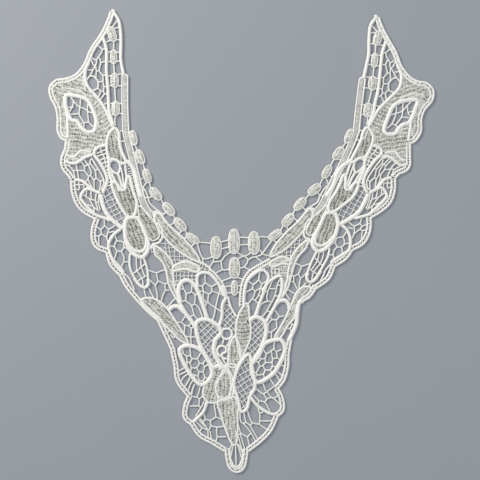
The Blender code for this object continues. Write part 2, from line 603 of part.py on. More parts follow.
# ---------------------------------------------------------------- from tables to shapes
def wing_shapes(place, hand):
    """Every shape of one wing; place moves a left-hand point to its own side (hand 1 or -1)."""
    cords = {name: [place(point) for point in smooth_curve(points)]
             for name, width, points in WING_CORDS + [row[:1] + row[2:] for row in WING_SHAPES]}
    tip_beads = placed_beads(TIP_BEADS, place)
    neck_beads = placed_beads(NECK_BEADS, place)
    links = bead_links(tip_beads, [cords["neck_tip"] + cords["rail"], cords["divider"]])
    links += bead_links(neck_beads, [cords["rail"] + cords["leaf_a"]])
    for points in WING_BARS:
        links += strip([place(point) for point in points], BAR)
    shapes = cord_shapes(WING_CORDS, place)
    shapes += outline_shapes(WING_SHAPES, place)
    shapes += panel_shapes(WING_PANELS, place) + round_shapes(WING_ROUNDS, place)
    shapes += net_shapes(WING_NETS, WING_SHAPE_NETS, WING_SHAPES, WING_LADDERS, place, hand)
    shapes += [("bar", link) for link in links]
    return shapes + bead_shapes(tip_beads + neck_beads)


def bib_shapes():
    """Every shape of the bib."""
    def place(point):
        return Vector(point)

    shapes = cord_shapes(BIB_CORDS, place)
    shapes += outline_shapes(BIB_SHAPES, place)
    shapes += panel_shapes(BIB_PANELS, place) + round_shapes(BIB_ROUNDS, place)
    shapes += net_shapes(BIB_NETS, BIB_SHAPE_NETS, BIB_SHAPES, BIB_LADDERS, place, 1)
    for points in CENTRE_BARS:
        shapes += [("bar", quad) for quad in strip([Vector(point) for point in points], BAR)]
    return shapes + bead_shapes(placed_beads(CENTRE_BEADS, place))


def cord_shapes(cords, place):
    """The bands of the satin cords."""
    return [("cord", quad) for name, width, points in cords
            for quad in strip(smooth_curve([place(point) for point in points]), width)]


def outline_shapes(rows, place):
    """Closed outlines with what lies inside them and the cord round them."""
    shapes = []
    for name, kind, width, points in rows:
        outline = smooth_curve([place(point) for point in points], closed=True)
        shapes.append((kind, outline))
        shapes += [("cord", quad) for quad in strip(outline, width, closed=True)]
    return shapes


def panel_shapes(panels, place):
    """Cloth and even net that lie under the cords round them."""
    return [(kind, smooth_curve([place(point) for point in points], closed=True))
            for name, kind, points in panels]


def round_shapes(rounds, place):
    """Round knobs and holes, some with a thin bar round them."""
    shapes = []
    for name, kind, rim, across, down, radius_across, radius_down in rounds:
        centre = place((across, down))
        shapes.append((kind, oval(centre, radius_across, radius_down, DOWN, ROUND_CORNERS)))
        if rim:
            ring = oval(centre, radius_across + rim / 2, radius_down + rim / 2, DOWN, ROUND_CORNERS)
            shapes += [("bar", quad) for quad in strip(ring, rim, closed=True)]
    return shapes


def net_shapes(nets, shape_nets, shape_rows, ladders, place, hand):
    """Bars of the open nets, both the six-sided ones and the ladders."""
    outlines = {name: points for name, kind, width, points in shape_rows}
    rows = nets + [row + (outlines[row[0]],) for row in shape_nets]
    shapes = []
    for seed, (name, pitch, turn, stretch, points) in enumerate(rows):
        outline = [place(point) for point in points]
        shapes += net_bars(pitch, 90 + hand * (turn - 90), stretch, outline, 2 * seed + (hand < 0))
    for name, spacing, turn, points in ladders:
        shapes += line_bars(spacing, 90 + hand * (turn - 90), [place(point) for point in points])
    return [("bar", shape) for shape in shapes]


def bead_shapes(beads):
    """Foot and crown of each padded bead."""
    shapes = []
    for centre, axis, width, length in beads:
        for kind, scale, corners in BEAD_PARTS:
            shapes.append((kind, oval(centre, width / 2 * scale, length / 2 * scale, axis, corners)))
    return shapes


def seam_shapes():
    """Fine strips along which the lace is parted into its pieces."""
    width = SEAM_GAP / SQUARE
    seams = [points for name, points in WING_SEAMS + BIB_SEAMS]
    seams += [[mirrored(point) for point in points] for name, points in WING_SEAMS]
    shapes = []
    for points in seams:
        curve = smooth_curve(points)
        curve[0] += (curve[0] - curve[1]).normalized() * SEAM_OVERRUN
        curve[-1] += (curve[-1] - curve[-2]).normalized() * SEAM_OVERRUN
        line = simplified(list(range(len(curve))), curve, OUTLINE_TOLERANCE / SQUARE)
        shapes += strip([curve[i] for i in line], width)
    return [("seam", shape) for shape in shapes]


def draft_shapes():
    """Every shape of the lace, as (kind, outline in draft squares)."""
    return wing_shapes(Vector, 1) + wing_shapes(mirrored, -1) + bib_shapes() + seam_shapes()


# ---------------------------------------------------------------- from shapes to one plan
def on_sheet(point):
    """A draft point in metres, on the sheet's own axes."""
    return Vector(((point[0] - DRAFT_MIDDLE[0]) * SQUARE, (DRAFT_MIDDLE[1] - point[1]) * SQUARE))


def area_of(outline):
    """Area inside a closed outline, below zero where it runs clockwise."""
    return 0.5 * sum(a.x * b.y - b.x * a.y for a, b in zip(outline, outline[1:] + outline[:1]))


def locator(outlines):
    """A function that lists which of the closed outlines lie round a point."""
    table = defaultdict(list)
    for i, outline in enumerate(outlines):
        left, right = (pick(point.x for point in outline) // LOOKUP_CELL for pick in (min, max))
        low, high = (pick(point.y for point in outline) // LOOKUP_CELL for pick in (min, max))
        for column in range(int(left), int(right) + 1):
            for row in range(int(low), int(high) + 1):
                table[column, row].append(i)

    def round_point(point):
        near = table[point.x // LOOKUP_CELL, point.y // LOOKUP_CELL]
        return [i for i in near if inside(point, outlines[i])]

    return round_point


def merged_plan(shapes):
    """Triangles of all the overlapping shapes, with the kind that wins in each and its seams."""
    outlines = [[on_sheet(point) for point in outline] for _, outline in shapes]
    points, edges = [], []
    for outline in outlines:
        first = len(points)
        points += outline
        edges += [(first + i, first + (i + 1) % len(outline)) for i in range(len(outline))]
    verts, _, tris, _, _, _ = delaunay_2d_cdt(points + FRAME, edges, [], 0, MERGE_DISTANCE, False)
    shapes_round = locator(outlines)
    cover, seamed = [], []
    for tri in tris:
        here = [shapes[i][0] for i in shapes_round(sum((verts[v] for v in tri), Vector((0, 0))) / 3)]
        best = max(here, key=RANK.get, default=None)
        cover.append(best if best in HEIGHT else None)
        seamed.append("seam" in here)
    return [v.copy() for v in verts], [list(t) for t in tris], cover, seamed


def edge_table(tris):
    """Triangles on each side of each edge."""
    table = defaultdict(list)
    for index, tri in enumerate(tris):
        for a, b in zip(tri, tri[1:] + tri[:1]):
            table[min(a, b), max(a, b)].append(index)
    return table


def patches(tris, same):
    """Groups of neighbouring triangles for which same(a, b) holds."""
    table = edge_table(tris)
    near = defaultdict(list)
    for pair in table.values():
        if len(pair) == 2 and same(*pair):
            near[pair[0]].append(pair[1])
            near[pair[1]].append(pair[0])
    seen, groups = set(), []
    for start in range(len(tris)):
        if start in seen:
            continue
        seen.add(start)
        group, queue = [], [start]
        while queue:
            tri = queue.pop()
            group.append(tri)
            for other in near[tri]:
                if other not in seen:
                    seen.add(other)
                    queue.append(other)
        groups.append(group)
    return groups, table


def tri_area(verts, tri):
    """Area of one triangle of a plan."""
    return abs(area_of([verts[i] for i in tri]))


def close_narrow_gaps(verts, tris, cover, seamed):
    """Give every gap that is too narrow to cut a thin web instead."""
    groups, table = patches(tris, lambda a, b: cover[a] is None and cover[b] is None)
    borders = {i for pair in table.values() if len(pair) == 1 for i in pair}
    for group in groups:
        if cover[group[0]] is not None or any(i in borders or seamed[i] for i in group):
            continue
        members = set(group)
        area = sum(tri_area(verts, tris[i]) for i in group)
        girth = sum((verts[a] - verts[b]).length for (a, b), pair in table.items()
                    if len(pair) == 2 and (pair[0] in members) != (pair[1] in members))
        if 4 * area / girth < LEAST_GAP_WIDTH:
            for i in group:
                cover[i] = "web"


def absorb_specks(verts, tris, cover):
    """Let tiny patches take the kind of the neighbour they share most of their border with."""
    groups, table = patches(tris, lambda a, b: level(cover[a]) == level(cover[b]))
    home = {i: n for n, group in enumerate(groups) for i in group}
    shared = defaultdict(lambda: defaultdict(float))
    for (a, b), pair in table.items():
        if len(pair) == 2 and home[pair[0]] != home[pair[1]]:
            length = (verts[a] - verts[b]).length
            shared[home[pair[0]]][home[pair[1]]] += length
            shared[home[pair[1]]][home[pair[0]]] += length
    for n, group in enumerate(groups):
        if cover[group[0]] and sum(tri_area(verts, tris[i]) for i in group) < SPECK_AREA:
            solid = {m: s for m, s in shared[n].items() if cover[groups[m][0]]}
            if solid:
                winner = cover[groups[max(solid, key=solid.get)][0]]
                for i in group:
                    cover[i] = winner


def simplified(chain, verts, tolerance):
    """A chain of corners with the ones left out that hardly bend it."""
    if len(chain) < 3:
        return chain
    start, end = verts[chain[0]], verts[chain[-1]]
    along = end - start
    worst, at = 0.0, 0
    for k in range(1, len(chain) - 1):
        point = verts[chain[k]] - start
        if along.length_squared > 0:
            point -= along * min(1.0, max(0.0, point.dot(along) / along.length_squared))
        if point.length > worst:
            worst, at = point.length, k
    if worst < tolerance:
        return [chain[0], chain[-1]]
    return simplified(chain[:at + 1], verts, tolerance)[:-1] + simplified(chain[at:], verts, tolerance)


def simple_borders(verts, tris, cover, seamed):
    """The lines where the height changes, as edges between few corners."""
    links = defaultdict(list)
    on_seam = set()
    for (a, b), pair in edge_table(tris).items():
        if len(pair) == 2 and level(cover[pair[0]]) != level(cover[pair[1]]):
            links[a].append(b)
            links[b].append(a)
            if any(seamed[i] and cover[i] is None for i in pair):
                on_seam |= {(a, b), (b, a)}
    anchors = {v for v, near in links.items()
               if len(near) != 2 or ((v, near[0]) in on_seam) != ((v, near[1]) in on_seam)}
    used, edges = set(), []
    for start in sorted(anchors) + list(links):
        for first in links[start]:
            if (start, first) in used:
                continue
            chain = [start, first]
            while chain[-1] not in anchors and chain[-1] != start:
                chain.append(next(v for v in links[chain[-1]] if v != chain[-2]))
            used |= set(zip(chain, chain[1:])) | set(zip(chain[1:], chain))
            tolerance = SEAM_TOLERANCE if (start, first) in on_seam else OUTLINE_TOLERANCE
            parts = [chain]
            if chain[0] == chain[-1]:
                half = len(chain) // 2
                parts = [chain[:half + 1], chain[half:]]
            for part in parts:
                short = simplified(part, verts, tolerance)
                edges += list(zip(short, short[1:]))
    return edges


def level(kind):
    """Height of a kind of stitching; nothing at all has none."""
    return HEIGHT[kind] if kind else 0.0


def plan_of_lace(shapes):
    """The final plan: corners, triangles and the kind of stitching of each triangle."""
    verts, tris, cover, seamed = merged_plan(shapes)
    close_narrow_gaps(verts, tris, cover, seamed)
    absorb_specks(verts, tris, cover)
    edges = [edge for edge in simple_borders(verts, tris, cover, seamed) if edge[0] != edge[1]]
    keep = sorted({v for edge in edges for v in edge})
    number = {v: n for n, v in enumerate(keep)}
    new_verts, _, new_tris, _, _, _ = delaunay_2d_cdt(
        [verts[v] for v in keep] + FRAME, [(number[a], number[b]) for a, b in edges], [],
        0, MERGE_DISTANCE, False)
    new_verts = [v.copy() for v in new_verts]
    new_tris = [list(t) for t in new_tris]
    return new_verts, new_tris, kinds_on(new_verts, new_tris, verts, tris, cover)


def kinds_on(new_verts, new_tris, verts, tris, cover):
    """The kind of each new triangle: what the old plan mostly has at a few points in it."""
    tris_round = locator([[verts[v] for v in tri] for tri in tris])
    kinds = []
    for tri in new_tris:
        a, b, c = (new_verts[v] for v in tri)
        votes = defaultdict(int)
        for part_a, part_b, part_c, say in SAMPLES:
            for i in tris_round((a * part_a + b * part_b + c * part_c) / 6)[:1]:
                votes[cover[i]] += say
        kinds.append(max(votes, key=votes.get) if votes else None)
    return kinds


# ---------------------------------------------------------------- from the plan to solids
def part_lone_corners(verts, tris, kinds):
    """Where two high patches meet only at a corner, draw the narrower one back from it."""
    changed = True
    while changed:
        changed = False
        fans = defaultdict(dict)
        for i, tri in enumerate(tris):
            for a, b, c in (tri, tri[1:] + tri[:1], tri[2:] + tri[:2]):
                fans[a][b] = (i, c)
        moved = set()
        for corner, fan in fans.items():
            ring = ring_round(fan)
            if not ring or moved & {i for i, _, _ in ring}:
                continue
            run = lone_run(verts, corner, ring, [level(kinds[i]) for i, _, _ in ring])
            if run:
                draw_back(verts, tris, kinds, corner, ring, run)
                moved |= {i for i, _, _ in ring}
                changed = True


def ring_round(fan):
    """Triangles round a corner in order, as (triangle, first, second); none on the frame."""
    ring = []
    at = next(iter(fan))
    while at in fan and len(ring) < len(fan):
        i, after = fan[at]
        ring.append((i, at, after))
        at = after
    return ring if at == ring[0][1] and len(ring) == len(fan) else []


def lone_run(verts, corner, ring, heights):
    """The narrowest high run of the ring, if at some height there is more than one."""
    def width(run):
        return sum((verts[ring[k][1]] - verts[corner]).angle(verts[ring[k][2]] - verts[corner]) for k in run)

    for height in sorted(set(heights))[1:]:
        high = [h >= height for h in heights]
        runs = [[k] for k in range(len(ring)) if high[k] and not high[k - 1]]
        for run in runs:
            while high[(run[-1] + 1) % len(ring)]:
                run.append((run[-1] + 1) % len(ring))
        if len(runs) > 1:
            return min(runs, key=width)
    return None


def draw_back(verts, tris, kinds, corner, ring, run):
    """Give a run of triangles a corner of its own, a little way into the run."""
    first, last = ring[run[0]][1], ring[run[-1]][2]
    before, after = ring[run[0] - 1][0], ring[(run[-1] + 1) % len(ring)][0]
    way = sum(((verts[ring[k][1]] - verts[corner]).normalized()
               + (verts[ring[k][2]] - verts[corner]).normalized() for k in run), Vector((0, 0))).normalized()
    new = len(verts)
    verts.append(verts[corner] + way * DRAW_BACK)
    while any(area_of([verts[new], verts[ring[k][1]], verts[ring[k][2]]]) <= 0 for k in run):
        verts[new] = verts[new].lerp(verts[corner], 0.5)
    for k in run:
        i = ring[k][0]
        tris[i] = [new if v == corner else v for v in tris[i]]
    tris += [[corner, first, new], [corner, new, last]]
    kinds += [kinds[before], kinds[after]]


def solid_mesh(name, verts, tris, kinds):
    """One closed mesh: flat underside, walls, and a top raised kind by kind."""
    mesh = bmesh.new()
    made = {}

    def vertex(v, height):
        key = (v, round(height, 7))
        if key not in made:
            made[key] = mesh.verts.new((verts[v].x, verts[v].y, height))
        return made[key]

    levels = defaultdict(set)
    sides = defaultdict(lambda: [0.0, 0.0])
    for tri, kind in zip(tris, kinds):
        height = HEIGHT[kind]
        mesh.faces.new([vertex(v, height) for v in tri])
        for a, b in zip(tri, tri[1:] + tri[:1]):
            levels[a].add(height)
            sides[min(a, b), max(a, b)][a < b] = height
    rim = {(a, b) if left else (b, a) for (a, b), (right, left) in sides.items() if 0.0 in (left, right)}
    for a, b in rim:
        levels[a].add(0.0)
        levels[b].add(0.0)
    for (a, b), (right, left) in sides.items():
        if left == right:
            continue
        low, high = min(left, right), max(left, right)
        start, end = (a, b) if left > right else (b, a)
        falling = sorted((h for h in levels[start] if low <= h <= high), reverse=True)
        rising = sorted(h for h in levels[end] if low <= h <= high)
        mesh.faces.new([vertex(start, h) for h in falling] + [vertex(end, h) for h in rising])
    for tri in underside(verts, rim):
        mesh.faces.new([vertex(v, 0.0) for v in reversed(tri)])
    bmesh.ops.triangulate(mesh, faces=[face for face in mesh.faces if len(face.verts) > 3])
    data = bpy.data.meshes.new(name)
    mesh.to_mesh(data)
    mesh.free()
    return data


def underside(verts, rim):
    """Triangles that fill the rim of a piece, whose edges run with the lace on their left."""
    corners = sorted({v for edge in rim for v in edge})
    number = {v: n for n, v in enumerate(corners)}
    walls = {(number[a], number[b]) for a, b in rim}
    _, _, tris, _, _, _ = delaunay_2d_cdt(
        [verts[v] for v in corners], sorted(walls), [], 0, 0.0, False)
    tris = [list(tri) for tri in tris]
    table = edge_table(tris)
    parted = {frozenset(table[min(a, b), max(a, b)]) for a, b in walls}
    groups, _ = patches(tris, lambda a, b: frozenset((a, b)) not in parted)
    for group in groups:
        edges = {edge for i in group for edge in zip(tris[i], tris[i][1:] + tris[i][:1])}
        if edges & walls:
            for i in group:
                yield [corners[v] for v in tris[i]]


def thread_material():
    """Ivory satin thread."""
    material = bpy.data.materials.new("ivory_thread")
    material.use_nodes = True
    shader = material.node_tree.nodes["Principled BSDF"]
    shader.inputs["Base Color"].default_value = (0.80, 0.79, 0.74, 1.0)
    shader.inputs["Roughness"].default_value = 0.55
    shader.inputs["Metallic"].default_value = 0.0
    return material


def build():
    """Empty the scene, then make one object for each piece of the plan."""
    for old in list(bpy.data.objects):
        bpy.data.objects.remove(old)
    verts, tris, kinds = plan_of_lace(draft_shapes())
    part_lone_corners(verts, tris, kinds)
    used = [i for i, kind in enumerate(kinds) if kind]
    tris = [tris[i] for i in used]
    kinds = [kinds[i] for i in used]
    groups, _ = patches(tris, lambda a, b: True)
    home = {i: group for group in groups for i in group}
    tris_round = locator([[verts[v] for v in tri] for tri in tris])
    pieces = [("left_" + name, spot) for name, spot in WING_PIECES]
    pieces += [("right_" + name, mirrored(spot)) for name, spot in WING_PIECES]
    material = thread_material()
    for name, spot in pieces + BIB_PIECES:
        group = home[tris_round(on_sheet(spot))[0]]
        data = solid_mesh(name, verts, [tris[i] for i in group], [kinds[i] for i in group])
        data.materials.append(material)
        bpy.context.collection.objects.link(bpy.data.objects.new(name, data))


build()
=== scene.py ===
"""Looks of a lace collar: guipure lace in ivory thread, laid flat on a table, face up.

The lace is drawn on a draft ruled in squares.  Each part has its own tables of cords, cloth, nets
and beads, and a row of points in them reads across,down, across,down and so on, in squares from the
draft's upper left corner.  Every thread that shows is modelled: the satin stitches over the cords,
the rows of running stitches in the cloth and the twisted bars of the nets.
"""
import math

import bpy
import numpy as np
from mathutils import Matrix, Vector


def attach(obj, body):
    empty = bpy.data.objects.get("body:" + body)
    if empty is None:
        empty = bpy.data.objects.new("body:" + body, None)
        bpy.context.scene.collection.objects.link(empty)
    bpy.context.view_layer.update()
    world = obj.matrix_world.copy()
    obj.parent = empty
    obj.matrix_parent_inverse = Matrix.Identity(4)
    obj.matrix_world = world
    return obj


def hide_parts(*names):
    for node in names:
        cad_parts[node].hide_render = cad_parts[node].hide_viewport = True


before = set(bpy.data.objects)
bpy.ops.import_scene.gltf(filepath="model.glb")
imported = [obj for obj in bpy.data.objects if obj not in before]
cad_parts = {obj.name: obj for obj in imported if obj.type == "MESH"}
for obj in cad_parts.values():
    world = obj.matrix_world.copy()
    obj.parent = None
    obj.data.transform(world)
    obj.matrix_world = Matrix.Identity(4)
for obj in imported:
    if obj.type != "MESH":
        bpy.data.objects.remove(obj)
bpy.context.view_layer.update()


# ---------------------------------------------------------------- the table and the light
# A plain matt table top in a pale cool grey.  A broad lamp low on the upper left rakes over the
# stitches, and a larger, weaker one opposite keeps the shadows soft.
class Shade:
    """A shader socket that Python expressions can be written with."""

    def __init__(self, tree, socket=None):
        self.tree, self.socket = tree, socket

    def node(self, kind, settings, inputs, output=0):
        """One output of a new node: its settings are set first, then its sockets."""
        made = self.tree.nodes.new(kind)
        for name, value in settings.items():
            setattr(made, name, value)
        for name, value in inputs.items():
            if isinstance(value, Shade):
                self.tree.links.new(value.socket, made.inputs[name])
            else:
                made.inputs[name].default_value = value
        return Shade(self.tree, made.outputs[output])

    def __add__(self, other):
        return self.node("ShaderNodeMath", {"operation": "ADD"}, {0: self, 1: other})

    def __mul__(self, other):
        return self.node("ShaderNodeMath", {"operation": "MULTIPLY"}, {0: self, 1: other})

    __radd__, __rmul__ = __add__, __mul__

    def between(self, low, high):
        """A colour that goes from low to high as this value goes from 0 to 1."""
        # A Mix node's colours are its sockets 6 and 7, and their mix is its output 2.
        return self.node("ShaderNodeMix", {"data_type": "RGBA"},
                         {"Factor": self, 6: (*low, 1.0), 7: (*high, 1.0)}, 2)


def principled(name, fixed, linked):
    """A Principled material: fixed holds the values of its sockets, linked makes links to them."""
    material = bpy.data.materials.new(name)
    material.use_nodes = True
    shader = material.node_tree.nodes["Principled BSDF"]
    for socket, value in fixed.items():
        shader.inputs[socket].default_value = value
    for socket, shade in linked(Shade(material.node_tree)).items():
        material.node_tree.links.new(shade.socket, shader.inputs[socket])
    return material


TABLE_HALF = 3.0               # metres from its middle to each side
TABLE_DROP = 0.0002            # the table top lies this far under the lace
TABLE_DARK, TABLE_LIGHT = (0.285, 0.305, 0.335), (0.315, 0.335, 0.365)
TABLE_CLOUD, TABLE_SPECK = 0.6, 0.4     # shares of its clouds and its specks in the colour


def table_links(shade):
    """The table top's clouded and specked colour, and its slight tooth."""
    place = shade.node("ShaderNodeTexCoord", {}, {}, "Object")
    cloud = shade.node("ShaderNodeTexNoise", {}, {"Vector": place, "Scale": 5.0, "Detail": 4.0})
    speck = shade.node("ShaderNodeTexNoise", {}, {"Vector": place, "Scale": 900.0, "Detail": 2.0})
    tooth = shade.node("ShaderNodeBump", {}, {"Height": speck, "Strength": 0.05, "Distance": 0.0002})
    mix = TABLE_CLOUD * cloud + TABLE_SPECK * speck
    return {"Base Color": mix.between(TABLE_DARK, TABLE_LIGHT), "Normal": tooth}


top = bpy.data.meshes.new("table")
corners = [(x * TABLE_HALF, y * TABLE_HALF, -TABLE_DROP) for x, y in ((-1, -1), (1, -1), (1, 1), (-1, 1))]
top.from_pydata(corners, [], [(0, 1, 2, 3)])
top.materials.append(principled("matt_table", {"Roughness": 0.75}, table_links))
table = bpy.data.objects.new("table", top)
bpy.context.scene.collection.objects.link(table)

# Name, place and size in metres, power in watts, colour.
LAMPS = [
    ("lamp_low", (-0.95, 0.75, 0.80), 0.55, 18.9, (1.0, 0.97, 0.93)),
    ("lamp_broad", (0.95, -0.35, 1.20), 1.60, 10.0, (0.93, 0.96, 1.0)),
]
for name, place, size, power, colour in LAMPS:
    lamp = bpy.data.lights.new(name, "AREA")
    lamp.size, lamp.energy, lamp.color = size, power, colour
    holder = bpy.data.objects.new(name, lamp)
    holder.location = place
    holder.rotation_euler = (-Vector(place)).to_track_quat("-Z", "Y").to_euler()
    bpy.context.scene.collection.objects.link(holder)
world = bpy.data.worlds.new("studio")
world.use_nodes = True
air = world.node_tree.nodes["Background"].inputs
air["Color"].default_value, air["Strength"].default_value = (0.90, 0.94, 1.0, 1.0), 0.35
bpy.context.scene.world = world
bpy.context.scene.view_settings.view_transform = "Standard"

# The camera looks straight down on the draft, and its picture is 480 squares wide.
PICTURE_SQUARES = 480.0
COLLAR_LENGTH, LENGTH_SQUARES = 0.361, 464     # from the shoulder tips to the point, in metres and squares
SQUARE = COLLAR_LENGTH / LENGTH_SQUARES
DRAFT_MIDDLE = (241.5, 241.2)  # the draft point that lies at the origin
LENS, SENSOR = 100.0, 36.0     # in millimetres
camera = bpy.data.objects.new("camera", bpy.data.cameras.new("camera"))
camera.data.lens, camera.data.sensor_width = LENS, SENSOR
camera.location = ((PICTURE_SQUARES / 2 - DRAFT_MIDDLE[0]) * SQUARE,
                   (DRAFT_MIDDLE[1] - PICTURE_SQUARES / 2) * SQUARE,
                   PICTURE_SQUARES * SQUARE * LENS / SENSOR)
bpy.context.scene.collection.objects.link(camera)
bpy.context.scene.camera = camera


# ---------------------------------------------------------------- the shoulder tips
# Each pointed tip holds a column of padded beads between two satin cords, and an open net of
# twisted bars beside it.  The rail, a flat satin band with rolled edges, starts here and runs on
# down the neck.  All of it is stitched in one ivory rayon thread, and the ground is then dissolved.
CURVE_STEP = 1.2               # squares between the points of a curve, about
# Where the two wings match: across, down on the left, then across, down on the right.
MATCHING_MARKS = [
    (113,9, 376.5,14.5), (121,40, 369,44), (125,77, 362.5,80), (125,118, 359.5,120), (132,157, 345.5,158),
    (137.5,180, 334.5,179), (144,204, 322.5,204), (133.5,138, 349,136), (140.3,157, 338.5,152.5),
    (147.2,176, 327,171.5), (155.8,194, 314.5,189.5), (168.8,209.2, 300,204), (180.2,224.5, 288,220),
    (192.8,238.6, 275,235), (92,84, 395,86), (50,90, 433,93), (59,125, 420,126), (67,140, 409,143),
    (94,124, 388,130), (115,128, 367,127), (115,167, 359,165), (63,163, 408.5,163), (73,180, 393,178),
    (98,219, 368,218), (94,238, 367,232), (108,251, 351,249), (113,184, 357,185), (131,218, 331,213),
    (141,258, 319,252), (200,261, 270,256), (144,288, 311,283), (112,264, 344.5,257.5), (122,275, 332.5,265),
    (128,286, 327,278), (140,300, 313,287.5), (160,320, 302,299), (181,304, 282,296),
]
MARK_SOFTNESS = 30.0           # blunts the pull of the nearest mark, in squares squared
MARK_FALL = -1.6               # power by which a mark's pull falls with the squared distance


def mirrored(point):
    """The right-hand twin of a left-hand draft point, eased between the matching marks."""
    across, down = point
    shift = Vector((0.0, 0.0))
    total = 0.0
    for left_across, left_down, right_across, right_down in MATCHING_MARKS:
        weight = ((across - left_across) ** 2 + (down - left_down) ** 2 + MARK_SOFTNESS) ** MARK_FALL
        shift += weight * Vector((right_across + left_across, right_down - left_down))
        total += weight
    shift /= total
    return Vector((shift.x - across, down + shift.y))


# Name of a side, what places its points, and its hand, which is -1 where turns are mirrored.
SIDES = [("left", Vector, 1), ("right", mirrored, -1)]


def row_of(points):
    """Points as the numbers of a row."""
    return [number for point in points for number in point]


def curve(row, place=Vector, closed=False):
    """Points of a smooth curve through those of a row, once place has moved them."""
    knots = [place(point) for point in zip(row[::2], row[1::2])]
    count = len(knots)
    made = []
    for i in range(count if closed else count - 1):
        p1, p2 = knots[i], knots[(i + 1) % count]
        p0 = knots[i - 1] if closed or i > 0 else 2 * p1 - p2
        p3 = knots[(i + 2) % count] if closed or i + 2 < count else 2 * p2 - p1
        steps = max(1, round((p2 - p1).length / CURVE_STEP))
        for k in range(steps):
            t = k / steps
            made.append(0.5 * (2 * p1 + (p2 - p0) * t + (2 * p0 - 5 * p1 + 4 * p2 - p3) * t * t
                               + (3 * p1 - p0 - 3 * p2 + p3) * t ** 3))
    if not closed:
        made.append(knots[-1])
    return made


def on_sheet(points):
    """Draft points in metres, as the lace lies."""
    spots = np.array([tuple(point) for point in points])
    return (spots - DRAFT_MIDDLE) * (SQUARE, -SQUARE)


class Lace:
    """The threads of one part of the lace, gathered finish by finish."""
    # The worked cords, beads and cloth are one piece, and the bars and thin lines in it another.
    PIECES = {"_lace": ("cord", "rail", "bead", "cloth", "petal"), "_net": ("bar", "line")}

    def __init__(self, name):
        self.name = name
        self.work = {}
        self.cords = []        # middle line and half width of every cord, in metres

    def add(self, points, grain, faces, finish):
        """grain: metres along the thread, metres across it, and a tone from 0 to 1, which in cloth carries
        painted shade.
        """
        spots, grains, sides = self.work.setdefault(finish, ([], [], []))
        start = sum(len(part) for part in spots)
        spots.append(points.reshape(-1, 3))
        grains.append(grain.reshape(-1, 3))
        sides += [[v + start for v in face] for face in faces]

    def tube(self, hoops, grain, finish, closed=False):
        """Skin hoops of points that run from the left foot over the top to the right."""
        count, size = hoops.shape[:2]
        first = np.arange(count if closed else count - 1)[:, None] * size
        here = np.arange(size)[None, :]
        after = (here + 1) % size
        onward = (first + size) % (count * size)
        faces = np.stack([first + here, first + after, onward + after, onward + here], axis=-1)
        faces = faces.reshape(-1, 4).tolist()
        if not closed:
            faces += [list(range(size))[::-1], list(range((count - 1) * size, count * size))]
        self.add(hoops, grain, faces, finish)

    def finish_off(self, finishes):
        """Make the two pieces, which stand for the solid of this name and lie in its place."""
        made = []
        for ending, kinds in self.PIECES.items():
            kinds = [kind for kind in kinds if kind in self.work]
            points, grain, faces, slots = [], [], [], []
            mesh = bpy.data.meshes.new(self.name + ending)
            for number, kind in enumerate(kinds):
                spots, grains, sides = self.work[kind]
                start = sum(len(part) for part in points)
                points += spots
                grain += grains
                faces += [[v + start for v in face] for face in sides]
                slots += [number] * len(sides)
                mesh.materials.append(finishes[kind])
            mesh.from_pydata(np.concatenate(points).tolist(), [], faces)
            mesh.attributes.new("grain", "FLOAT_VECTOR", "POINT")
            mesh.attributes["grain"].data.foreach_set("vector", np.concatenate(grain).ravel())
            mesh.polygons.foreach_set("material_index", slots)
            mesh.shade_smooth()
            made.append(bpy.data.objects.new(self.name + ending, mesh))
            bpy.context.scene.collection.objects.link(made[-1])
            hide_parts(self.name)
            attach(made[-1], "root")
        solid = bpy.data.objects[self.name].data
        spots = np.array([vertex.co.xy for vertex in solid.vertices])


draw = np.random.default_rng(11)        # seeded, so that every run stitches the same lace

STITCH = 0.00050               # from one satin stitch to the next
CORD_HEIGHT = 0.0021           # of a wide cord
CORD_ROUND = 0.76              # height of a narrow cord, against its width
CORD_LEAST = 0.0016            # least height of a padded cord, so that it stands over the cloth
ARCH = np.linspace(0.0, math.pi, 7)     # angles of the points of a hoop over a cord
ARCH_POWER = 0.75              # below 1 the crown of a cord is flatter than a half circle
SLANT = 0.16                   # how far a stitch leans along the cord, for each unit across it
DIP = (0.97, 0.92)             # width and height between two stitches, against those on a stitch
UNEVEN = 0.022                 # how much the stitches differ in size, as a share
END_ROUND = 0.5                # length over which an end rounds off, against the cord's width
END_LEAST = 0.2                # size of a cord's very end against its full size
# Width of each kind of cord in squares, and the finish that it is worked in.
WIDTH = {"heavy": 4.7, "cord": 3.6, "fine": 2.6, "thin": 1.9, "hem": 3.0}
THREAD_OF = {"heavy": "cord", "cord": "cord", "fine": "cord", "thin": "line", "hem": "line"}


def even(path, step, closed=False):
    """Points at an even step on a draft path in metres, the way to their left and the run so far."""
    line = on_sheet(path + path[:1] if closed else path)
    run = np.concatenate([[0.0], np.cumsum(np.linalg.norm(np.diff(line, axis=0), axis=1))])
    count = 2 * max(2, round(run[-1] / step / 2))
    at = np.linspace(0.0, run[-1], count + 1)[:count if closed else count + 1]
    points = np.stack([np.interp(at, run, line[:, k]) for k in (0, 1)], axis=1)
    ahead = np.roll(points, -1, axis=0) - np.roll(points, 1, axis=0)
    if not closed:
        ahead[0], ahead[-1] = points[1] - points[0], points[-1] - points[-2]
    ahead /= np.linalg.norm(ahead, axis=1, keepdims=True)
    return points, np.stack([-ahead[:, 1], ahead[:, 0]], axis=1), at


